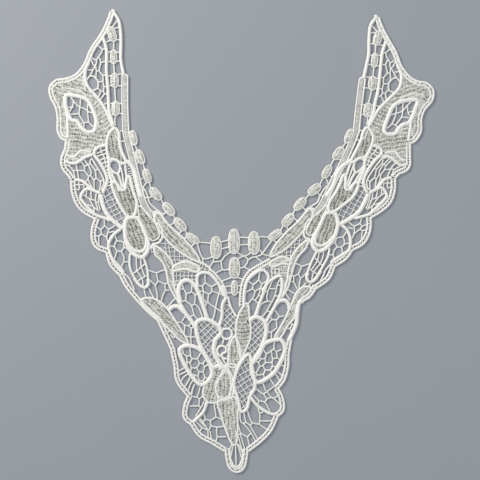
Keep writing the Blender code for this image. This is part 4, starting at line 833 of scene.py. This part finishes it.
FLANK_BARS = [
    # the fan under the shoulder
    (75.5,185, 84,184.8), (78.7,182, 79.8,189.5), (84,185, 84,188), (75.9,188.9, 79.3,190.2),
    (83,194.5, 89.3,198.6, 95.3,200.7), (86.8,190.5, 86.3,196), (91,191, 91.6,199.2),
    (89.3,198.6, 92.8,205.3, 94.5,207.8, 99.5,211), (85,204, 93,206.5), (96.5,192.5, 95.7,200.7, 98,209.5),
    (99,194, 98.5,202.3, 100.3,210), (96.5,202.4, 98.5,202.3), (94,207.5, 94.6,214),
    # the scallop
    (104.3,220, 104.5,225.5, 100.8,230.2), (97,227, 100.8,230.2, 101.7,234.2),
    (104.5,225.5, 109.1,229, 115,225.5), (109.1,229, 106.8,237.5, 109,244), (109,232.6, 114.5,231.3),
    (106.8,237.6, 101.7,234.3, 99,236.2, 95.5,235.6), (98.9,236.4, 99.2,244),
    # the waist
    (114.5,234.5, 117.3,240.6, 121,241.3, 123.7,242.6, 125.5,241), (117.3,240.6, 115.3,243.5, 114.7,246.8),
    (109.5,246, 114,246.8, 117.3,250.7, 121.3,251.3, 124.4,247.3),
    (123.7,242.6, 124.5,247.3, 127.2,248.8, 130.2,252.2), (117.3,250.7, 115.2,257, 114,260),
    (121.3,251.3, 124.1,257, 124.1,261.3, 128.5,262), (124.2,261.5, 121,267.8),
    # the loop
    (136.3,256, 136.5,263, 137,271), (140.7,257.5, 141.3,267), (132.5,274, 137,271, 141.4,267, 145.3,263.7),
    (137,271, 141.9,278.4, 143.3,285.5), (141.4,267.3, 144.7,276), (138,281, 141.9,278.5, 147.3,275.3),
    # from the loop to the leaf
    (148,270, 156.3,272.8, 160,271.4, 165.5,269.8), (156.4,273, 158,280, 158.6,281.4),
    (149,279, 155.2,284.6, 158.6,281.4, 164.3,283.8, 168.5,283), (155.2,284.6, 157.3,294, 157.4,299.5),
    (165,284, 165.7,289.8, 169.5,290.3), (165.7,290, 162.7,296, 161.5,301.5), (177.5,296, 166.8,307.8),
    (149,288.5, 153.8,297.8), (144,289, 146.2,298),
]
# What differs from side to side, each side in its own draft points.
FOOT_CORDS = {
    "left": [
        ("dashed", 159,319, 166.5,335, 173.5,350),
        ("heavy", 168.5,310.5, 172.3,307, 177,306.3, 181,309, 186,314),
        ("heavy", 180.5,304, 184,310.5, 187.5,316, 192,321.5, 197,330),
    ],
    "right": [
        ("dashed", 315,285, 313,289.5, 309.5,294.5, 303,299, 300,302.5),
        ("heavy", 302,299.5, 298.8,304, 297.3,313, 296.6,322, 293.5,331, 288.5,341),
        ("heavy", 275,305, 279,301, 285,300.5, 289,305, 289.3,311),
        ("cord", 281.7,277, 281.9,287, 279.7,296.5, 273.3,309, 266,322),
    ],
}
FOOT_LEAF = {
    "left": (41, (141,301, 151,298, 164,305, 175,320, 188,342, 180,340, 166,326, 152,313)),
    "right": (126, (310.5,287.5, 303,287, 297,292.5, 293,301, 290,308, 284,321, 275,337, 280,338, 288,325,
                    294.5,317, 296.5,306, 302,298.5, 309.5,292.5)),
}
FOOT_BARS = {
    "left": [
        (186.5,314.5, 182,321.5), (176.5,322.5, 181.5,322.5, 185,325.3, 188.5,326, 191.5,328.5),
        (191,321, 190.5,324, 188.5,326), (191.5,328.5, 193.5,326.5), (184.8,325.3, 184.3,333, 183,335),
        (191.5,328.5, 190.8,337, 191.5,346), (184.5,335.5, 188,336.7, 196.5,337.2),
        (168,332, 172,330.5, 175,335.5), (170.5,334.5, 173.5,338, 175,335.5),
    ],
    "right": [
        (274.8,310, 279.7,316.3, 284.5,315.8), (279.7,316.3, 276.3,319.7, 272.3,319.3, 270,316),
        (272.3,319.3, 268.5,323.7, 268.3,332), (276.3,319.7, 276.8,328), (265.5,332, 270.5,332, 277,328),
        (271.3,332, 271.6,338.5), (285.5,293, 290.3,300.3), (285.7,328.3, 290,328.7, 291.5,332),
        (290,328.7, 291.8,324.3, 289.5,322), (291.8,324.3, 295.5,324.5), (268.5,323.7, 266,322.5),
    ],
}
for side, place, hand in SIDES:
    lace = Lace(side + "_flank")
    cords(lace, FLANK_CORDS, place, hand)
    rings(lace, [("heavy", *PETAL), ("fine", *LOOP)], place)
    cords(lace, FOOT_CORDS[side], hand=hand)
    rings(lace, [("fine", *FOOT_LEAF[side][1])])
    cloth(lace, [(70, PETAL)], place, hand, finish="petal")
    cloth(lace, [FOOT_LEAF[side]])
    bars(lace, FLANK_BARS, place)
    bars(lace, FOOT_BARS[side])
    lace.finish_off(FINISHES)

# ---------------------------------------------------------------- the leaves by the neck
# Two long leaves and a short one above them, all of close cloth in thin cords, lie along the neck,
# with fine square net between them and a small crescent at their feet.  The last beads of the neck
# are tied to the upper long leaf.
LEAF_A = (154,213, 158,228, 169,242, 183,254, 199,261.5, 195,252, 184,239, 170,226, 160,214)
LEAF_B = (154,246, 155.5,254.5, 160.5,259.5, 164.5,265.5, 166.8,273.5, 168,280.5, 170,287, 175,296.5,
          181,305, 177,295, 174.3,288, 173.5,279, 173,270, 172,262, 167,255, 160,248.5)
LEAF_C = (139,206, 145.5,211, 153,220, 158,229.5, 159,237, 153,240.5, 147,236, 143,226, 139,216)
CRESCENT = (172.5,271, 176,265, 187,262, 199,267, 197,272, 185,269)
LEAF_CORDS = [
    ("hem", 158.5,212.5, 155.3,215, 154.8,219, 156,224),
    ("fine", 157,222, 161.5,228, 162.5,236.5, 159,242.5, 153,244.5, 150.5,249),
    ("thin", 143,187.3, 146,192, 148.3,198, 149.7,203, 155.5,208.5, 163.5,214.8),
]
LEAF_VEINS = [
    (4.2, (0, 84), (157,238, 169,243, 183,255, 199,262, 186,262, 174,269, 166,252)),
    (4.0, (0, 90), (173,271, 185,269, 198,271, 198,286, 190,281, 182,282, 178,290, 174,283)),
    (3.2, (0,), (173.5,281, 179,281, 179,300, 176,294)),
    (4.2, (0, 90), (150,247, 158,243, 160,256, 152,254)),
]
LEAF_BEADS = [(168.8, 209.2, 9.5, 16.5, 40), (180.2, 224.5, 9.5, 16.5, 42), (192.8, 238.6, 8.5, 16, 55)]
LEAF_BARS = [(160.5,199, 164.3,204.3), (167,212, 163.5,214.5, 161,218.5)]
for side, place, hand in SIDES:
    lace = Lace(side + "_leaves")
    cords(lace, LEAF_CORDS, place, hand)
    rings(lace, [("fine", *LEAF_A), ("fine", *LEAF_B), ("thin", *LEAF_C), ("hem", *CRESCENT)], place)
    cloth(lace, [(47, LEAF_A), (65, LEAF_B)], place, hand)
    cloth(lace, [(65, LEAF_C)], place, hand, finish="petal")
    cloth(lace, [(0, CRESCENT)], place, hand, finish="bead")
    veins(lace, LEAF_VEINS, place, hand)
    laid = beads(lace, LEAF_BEADS, place)
    tie(lace, laid[:2], [])
    tie(lace, laid[1:], [curve(LEAF_A, place, closed=True)])
    bars(lace, LEAF_BARS, place)
    lace.finish_off(FINISHES)

# ---------------------------------------------------------------- the upper bib
# Two arches of double cord meet over the middle, where the four largest beads hang in the point of
# the neck on twisted bars.  Open nets fill the arches and the petals below them.
UPPER_CORDS = [
    ("heavy", 181,304, 178.5,290, 182.5,281.5, 190,281, 197,289, 203,305, 207.5,319),
    ("cord", 197.5,288, 197.5,276, 203,272.5, 209,273.5, 214,277.7, 218.3,283.5, 221.7,291, 225,297),
    ("fine", 196,261, 204,264, 211,269),
    ("open", 208,270, 212,272.5, 215.5,276.5, 218.5,280, 221.5,284.5, 223.5,289, 225.5,295),
    ("cord", 243.8,308, 244,297, 245,288, 247.5,280.5, 252,275.5, 258,271.3, 264,270.5, 268.5,277, 265,289,
     260,302, 255,317),
    ("cord", 262,292, 267,284, 272,279.5, 278,276, 282,277),
    ("cord", 227,296, 222.5,305, 222,316, 219,327),
    ("fine", 228,296, 230.5,306, 236.5,317),
    ("heavy", 221,285, 223.8,291.5, 226.5,298),
]
UPPER_EDGE_RIGHT = [
    ("open", 271,260, 262,265, 256,268.3, 250,272.7, 246.3,277.5, 243.8,283, 242.3,290, 241.6,300,
     241.3,307),
]
UPPER_BARS = [
    # the petal on the left
    (182,284.5, 183.5,288.5, 186.2,293.8, 186.2,300.8, 191.5,305.7, 194.3,315, 198,319.5),
    (183.5,288.6, 179,290.3), (181,301.3, 186.2,300.8), (186.2,293.8, 191.2,291.8, 192,285),
    (191.2,291.8, 195,295.2, 194.5,303.8, 191.5,305.7), (195,295.2, 199,293),
    (194.5,303.8, 198.8,307.7, 203,318), (189,317, 194.3,315),
    # the left arch
    (204.7,273, 205.5,283), (197,284.3, 202.3,286.2, 205.5,283, 211.3,286.5, 218,282.7),
    (202.3,286.2, 203.5,291.5, 203.3,298.5, 206.5,303, 204,308),
    (199,291, 203.5,291.5, 208.8,294, 212,290.8, 211.3,286.5), (212,290.8, 218.8,293.8, 223,295),
    (218.8,293.8, 220.8,289), (218.8,293.8, 215.6,307.5, 214.5,314, 212.3,321),
    (208.8,294, 208.4,302.3, 215.6,307.8, 221,311.5), (208.4,302.3, 206.5,303),
    # the right arch
    (259.7,271, 258.7,280.5), (247,279.5, 253.3,284.3, 258.7,280.5, 262,283.5, 267,281),
    (253.3,284.3, 252.8,288.7, 255,291.3, 252.8,298, 246,306), (245,292.5, 252.8,288.8),
    (262,283.5, 260.5,287.7, 255,291.3), (260.5,287.8, 264,289.3),
    (260.5,288, 258.8,295, 255,300, 252.8,299.5), (258.8,295, 261.5,297), (255,300, 259,304.5),
    # the petal on the right
    (280.5,278, 277.3,285, 274.7,296, 270,305, 266.5,311.5, 262,317), (277.3,285, 282,285.6),
    (269,288.5, 275.5,289), (274.5,295.8, 280,296.3),
    (263.5,290, 267.3,292.5, 266.8,297, 268,301, 271.5,301.7), (272.5,280.5, 267.3,292.5),
    (268,301, 261.5,304, 258.5,311, 257.3,316.5), (259,303, 261.5,304), (266.5,311.2, 271,311.8),
    # round the middle beads
    (198,242, 212,243.5), (219,242.5, 231,239.5), (219,249.5, 231,246.5), (237,237, 251,238),
    (237,245, 251,244.5), (257,236.5, 272,237.5), (197,243, 203,258, 213,257), (203,258, 203,265),
    (214,257, 213,262, 209,268), (213,262, 221,261, 225,256, 234,250), (221,261, 223,269.5, 231,269),
    (223,269.5, 216,273), (234,250, 244,256, 252,252), (244,256, 235,260),
    (244,256, 248,260, 244,267, 236,268), (244,267, 250,270), (248,260, 255,257, 262,262),
    (255,257, 262,254, 258,248), (262,254, 269,256), (262,254, 273,239), (222,281, 233,277),
    (236,277, 245,280), (225,286.5, 243,285.5), (228,293, 241,292.5),
]
UPPER_CLOTH = [(100, (281,276, 289,275, 292,278, 288.5,287, 283,295, 280,297, 281,287))]
UPPER_VEINS = [
    (3.2, (20, 110), (196,263, 202,263, 210,269, 205,271, 198,273)),
    (3.2, (60, 150), (271,257, 262,262, 258,267, 264,269, 270,268)),
    (3.4, (90, 3), (271,267, 279,266, 289,265.5, 287,276, 279,275, 271,278)),
    (2.8, (0,), (225,298, 229.5,298, 231,306, 223.5,306)),
]
CENTRE_BEADS = [(216, 247.5, 12, 23, 0), (234, 241.5, 12.5, 26, 0), (254, 243, 12.5, 24, 0),
                (234.5, 268, 12, 22, 0), (234.5, 288, 7.5, 16, 0)]
lace = Lace("bib_upper")
cords(lace, UPPER_CORDS)
cords(lace, UPPER_EDGE_RIGHT, hand=-1)
veins(lace, UPPER_VEINS)
cloth(lace, UPPER_CLOTH)
bars(lace, UPPER_BARS)
beads(lace, CENTRE_BEADS)
lace.finish_off(FINISHES)

# ---------------------------------------------------------------- the lower bib
# A sprig of petals, leaves and a bud, stitched in cloth and fine net inside satin cords, runs down
# the middle to the pendant at the point.  Ladders and open nets join it to the scalloped edge.
LOWER_CORDS = [
    ("dashed", 172.3,347, 176,365, 178.5,381, 190,396),
    ("dashed", 190,396, 186,406, 185.5,417, 193,424),
    ("dashed", 190.8,421, 200,434.5, 213,442, 226,450),
    ("dashed", 227,448, 228.5,460, 231,467, 236.5,470.3, 242,467.5, 244.5,460, 246,448),
    ("dashed", 247,450, 260,440, 270,429, 277.5,412.5),
    ("dashed", 275.5,416, 282,409, 281,398, 276,388),
    ("heavy", 248.5,321.5, 254,317.3, 260,318, 265.3,323, 266,333, 262,346, 256,357, 250.5,365),
    ("cord", 207,402, 203,412, 193,422),
    ("cord", 250,396, 257,405, 267,412, 276,415),
    ("thin", 194.8,384, 192.7,389, 191.5,395),
    ("fine", 216.5,341, 214.7,348, 216,354, 219.5,360, 223,365, 227,371),
    ("fine", 221.5,357, 218,353.5, 217.2,349.5, 219.5,346.3, 223,346, 226,348.5, 225.8,352, 222.5,353.5,
     221.8,356, 223.5,358, 227,359),
    ("thin", 222,357.5, 224,361, 227,366.5, 228.5,371),
    ("thin", 224.3,337.5, 222.3,344.5),
    ("thin", 230,338, 228.5,345, 228.5,352, 229,362),
    ("thin", 228.5,344, 225.8,347),
    ("fine", 236,366, 243,358, 249,353),
    ("fine", 229.3,449, 230.3,458, 233.3,465, 236.5,466.8, 239.7,465, 242.5,458, 243.7,449),
]
LOWER_EDGE_RIGHT = [("dashed", 289.8,338, 287,354, 286.5,366, 283,379, 276,388)]
PETALS = [
    ("heavy", 196.5,323, 207,319.5, 218,326, 221,333, 215,341, 214,352, 218,361, 222,367.5, 217.5,366,
     213,366.5, 205,354, 198.5,340),
    ("heavy", 179.5,351, 187,345.5, 200,349.5, 208,360, 212,373, 207,382, 201,384.5, 195,380, 186,367),
    ("heavy", 264,344.5, 272,340.5, 281,340, 285,349, 280.5,362, 272,374.5, 257,382, 251.5,366, 258.5,356),
    ("cord", 248.5,354, 239,366, 234,383, 238,399, 241,411, 247,408, 250,396, 255,386, 252,366),
]
# Turn of the rows and outline of the bud and of the leaves below it.
LOWER_LEAVES = [
    (0, (246,303.5, 240.5,311, 237,321, 236,335, 238,348, 241,358, 246,349, 250,338, 250.5,326, 249,313,
         248.5,306)),
    (90, (234.5,336.5, 230.3,344, 228.5,355, 229,366, 238.5,366, 240.5,354, 238.5,342)),
    (90, (226,367, 218,381, 216,392, 223,398.5, 230,393, 232.5,379)),
    (105, (213.5,367, 211.5,376, 205.5,384, 203,394, 208,402, 218,401, 216,390, 217.5,380, 224.5,371.5,
           219.5,366)),
    (85, (218,402, 221,415, 226,430, 231,442, 236,444, 237.5,430, 237.5,415, 238.5,404, 234,397, 226,399.5)),
    (80, (228,364, 236,366, 234,380, 233,395, 230,398, 231,385, 229,374, 225,368)),
]
RING = (227,328.5, 222.5,330, 221.5,334, 223.5,338, 227.5,339, 231,337, 232,333.5, 230.5,330)
PENDANT_TIP = (90, (229,462, 236,465, 243,462, 242,469, 230,469))
LOWER_VEINS = [
    (4.4, (45, 135), PETALS[0][1:]),
    (4.4, (45, 135), (251,318.5, 258,317, 265.5,322, 266,333, 262,346, 256,357, 250,365, 247,354, 250,337)),
    (4.6, (58, 148), PETALS[3][1:]),
    (4.2, (45, 135), (228,305, 231,306, 237,317, 237,334, 233,336, 232,330, 227,327, 222,328, 222,308)),
    (4.4, (30, 120), (209,401, 217,398, 222,404, 221,414, 214,404)),
]
LOWER_BARS = [
    # the ladders inside the two outer loops
    (178.5,371, 185.5,367.3), (179,375, 187.5,370.8), (181,381.5, 184,376.8, 188.5,373.5),
    (184.5,387, 188.2,381.5, 190.3,376.7), (188.5,390, 190.5,384, 193.5,380), (279,364, 286,367.3),
    (276,370, 284,377.3), (275,373, 280,381), (269,377.5, 275.5,387),
    # the feet of the loops
    (200,387, 199,392, 197,397), (191,396, 197,397.5, 199.2,399, 199,406), (203,396, 199.2,399),
    (189.5,406, 199,406, 200.3,408), (204,401, 202.5,405, 195.5,416.5), (262,382, 264.3,386.5, 265.7,391),
    (254.5,387, 259,391, 263.5,393.7, 268.3,390.5, 274,386.5), (263.5,393.7, 266.5,399, 265,402),
    (266.8,391.5, 272.5,397.8, 278,396), (266.5,399, 272.5,397.8, 280,404),
    (252,393, 258.5,400, 265,402.5, 270,411), (258.6,399.5, 258.4,404),
    # either side of the last leaf
    (203.5,413, 205.3,419, 203,422), (199,417.5, 203,422, 208,430),
    (205.3,419, 210.3,420.3, 216,417.3, 221.5,419.3), (213.7,402, 215.3,411, 216,417.3),
    (210.3,420.3, 211.3,425.3, 216.7,427, 223.5,426.3), (211.3,425.3, 209,430, 208,430, 208.3,438),
    (216.7,427, 217.5,436, 226,436.7), (217.5,436, 216,441), (196,421, 202.3,427.5, 208,430),
    (202.3,427.5, 200,431), (198.5,419.5, 206,427), (210,431, 211.5,439),
    (247,409, 249.5,417, 252.5,422.3, 258.7,424, 259.8,420.3, 259.7,413.5, 257.3,406),
    (259.7,413.5, 265,410.5), (259.8,420.3, 265,421, 272,420.5), (258.7,423.8, 267.5,430),
    (243.5,411, 246,421.5, 250.3,425.8, 258.3,440), (252.5,422.3, 250.3,425.8),
    (246,421.7, 243.5,423.5, 240.5,420.5, 240,412), (243.5,423.5, 250.7,432, 255.5,441),
    (237.5,421, 239.5,429, 241.3,433.3, 247.3,436.3, 251,433), (247.3,436.3, 249.3,445),
    (241.3,433.3, 237.5,435.3), (240.3,434, 244.7,448.5), (238,435, 242.5,451),
    # the pendant
    (235.4,443, 236.3,466), (237.2,444, 239.5,450, 241.3,457), (233.2,444, 231,456), (238.3,443.5, 243,454),
    (232,444, 229,451),
    # the open petals
    (182.7,346, 183.3,353, 186.4,356.2, 187,362, 187.3,369), (180,354.2, 183.3,353),
    (189,346, 190.3,351, 190.3,355.3, 186.4,356.2),
    (190.3,355.3, 192.5,358.3, 197.3,358.6, 200.4,353.6, 204,350), (192.5,358.3, 190,362.4, 187,362),
    (190,362.4, 191.6,367.3, 196.4,367.7, 199.3,363.2, 197.3,358.6), (199.3,363.2, 202.9,363.3, 207,358),
    (202.9,363.3, 204.3,367, 203,371.5, 199.2,371.5, 196.4,367.7), (204.3,367, 209,364),
    (191.6,367.3, 190.9,372.7, 195.3,375.3, 198,375.8, 199.2,371.5),
    (198,375.8, 199.7,380.6, 203,380.6, 204.8,377, 203,371.5), (204.8,377, 210.5,380),
    (190.9,372.7, 188,375), (195.3,375.3, 191.5,379), (203,380.6, 206.5,384), (199.7,380.6, 196.5,382),
    (274.2,340.5, 274.2,348.5, 276.3,351.3, 281.5,349.3), (274.2,348.5, 271.2,350.9, 266.4,353.5, 263,349),
    (271.2,350.9, 272.7,357.8, 277,357.5, 276.3,351.3), (277,357.5, 281,360.5),
    (266.4,353.5, 265,358.3, 260.7,358.4, 257.5,354.5), (260.7,358.4, 258.6,361.8, 251.5,361),
    (258.6,361.8, 259.8,366.2, 262.9,365.3, 265.3,362.6, 265,358.3), (265.3,362.6, 271.8,362.2, 272.7,357.8),
    (271.8,362.2, 272.3,366, 270,369.8, 265.3,369.7, 262.9,365.3), (272.3,366, 276,367),
    (259.8,366.2, 256.5,372, 251.5,373.3), (256.5,372, 257,374.8, 263.3,374, 265.3,369.7),
    (257,374.8, 253.5,378.5), (263.3,374, 265,379), (270,369.8, 272.5,373.5),
]
lace = Lace("bib_lower")
cords(lace, LOWER_CORDS)
cords(lace, LOWER_EDGE_RIGHT, hand=-1)
rings(lace, PETALS)
rings(lace, [("fine", *RING)] + [("fine", *row) for turn, row in LOWER_LEAVES])
cloth(lace, LOWER_LEAVES + [PENDANT_TIP])
veins(lace, LOWER_VEINS)
bars(lace, LOWER_BARS)
lace.finish_off(FINISHES)
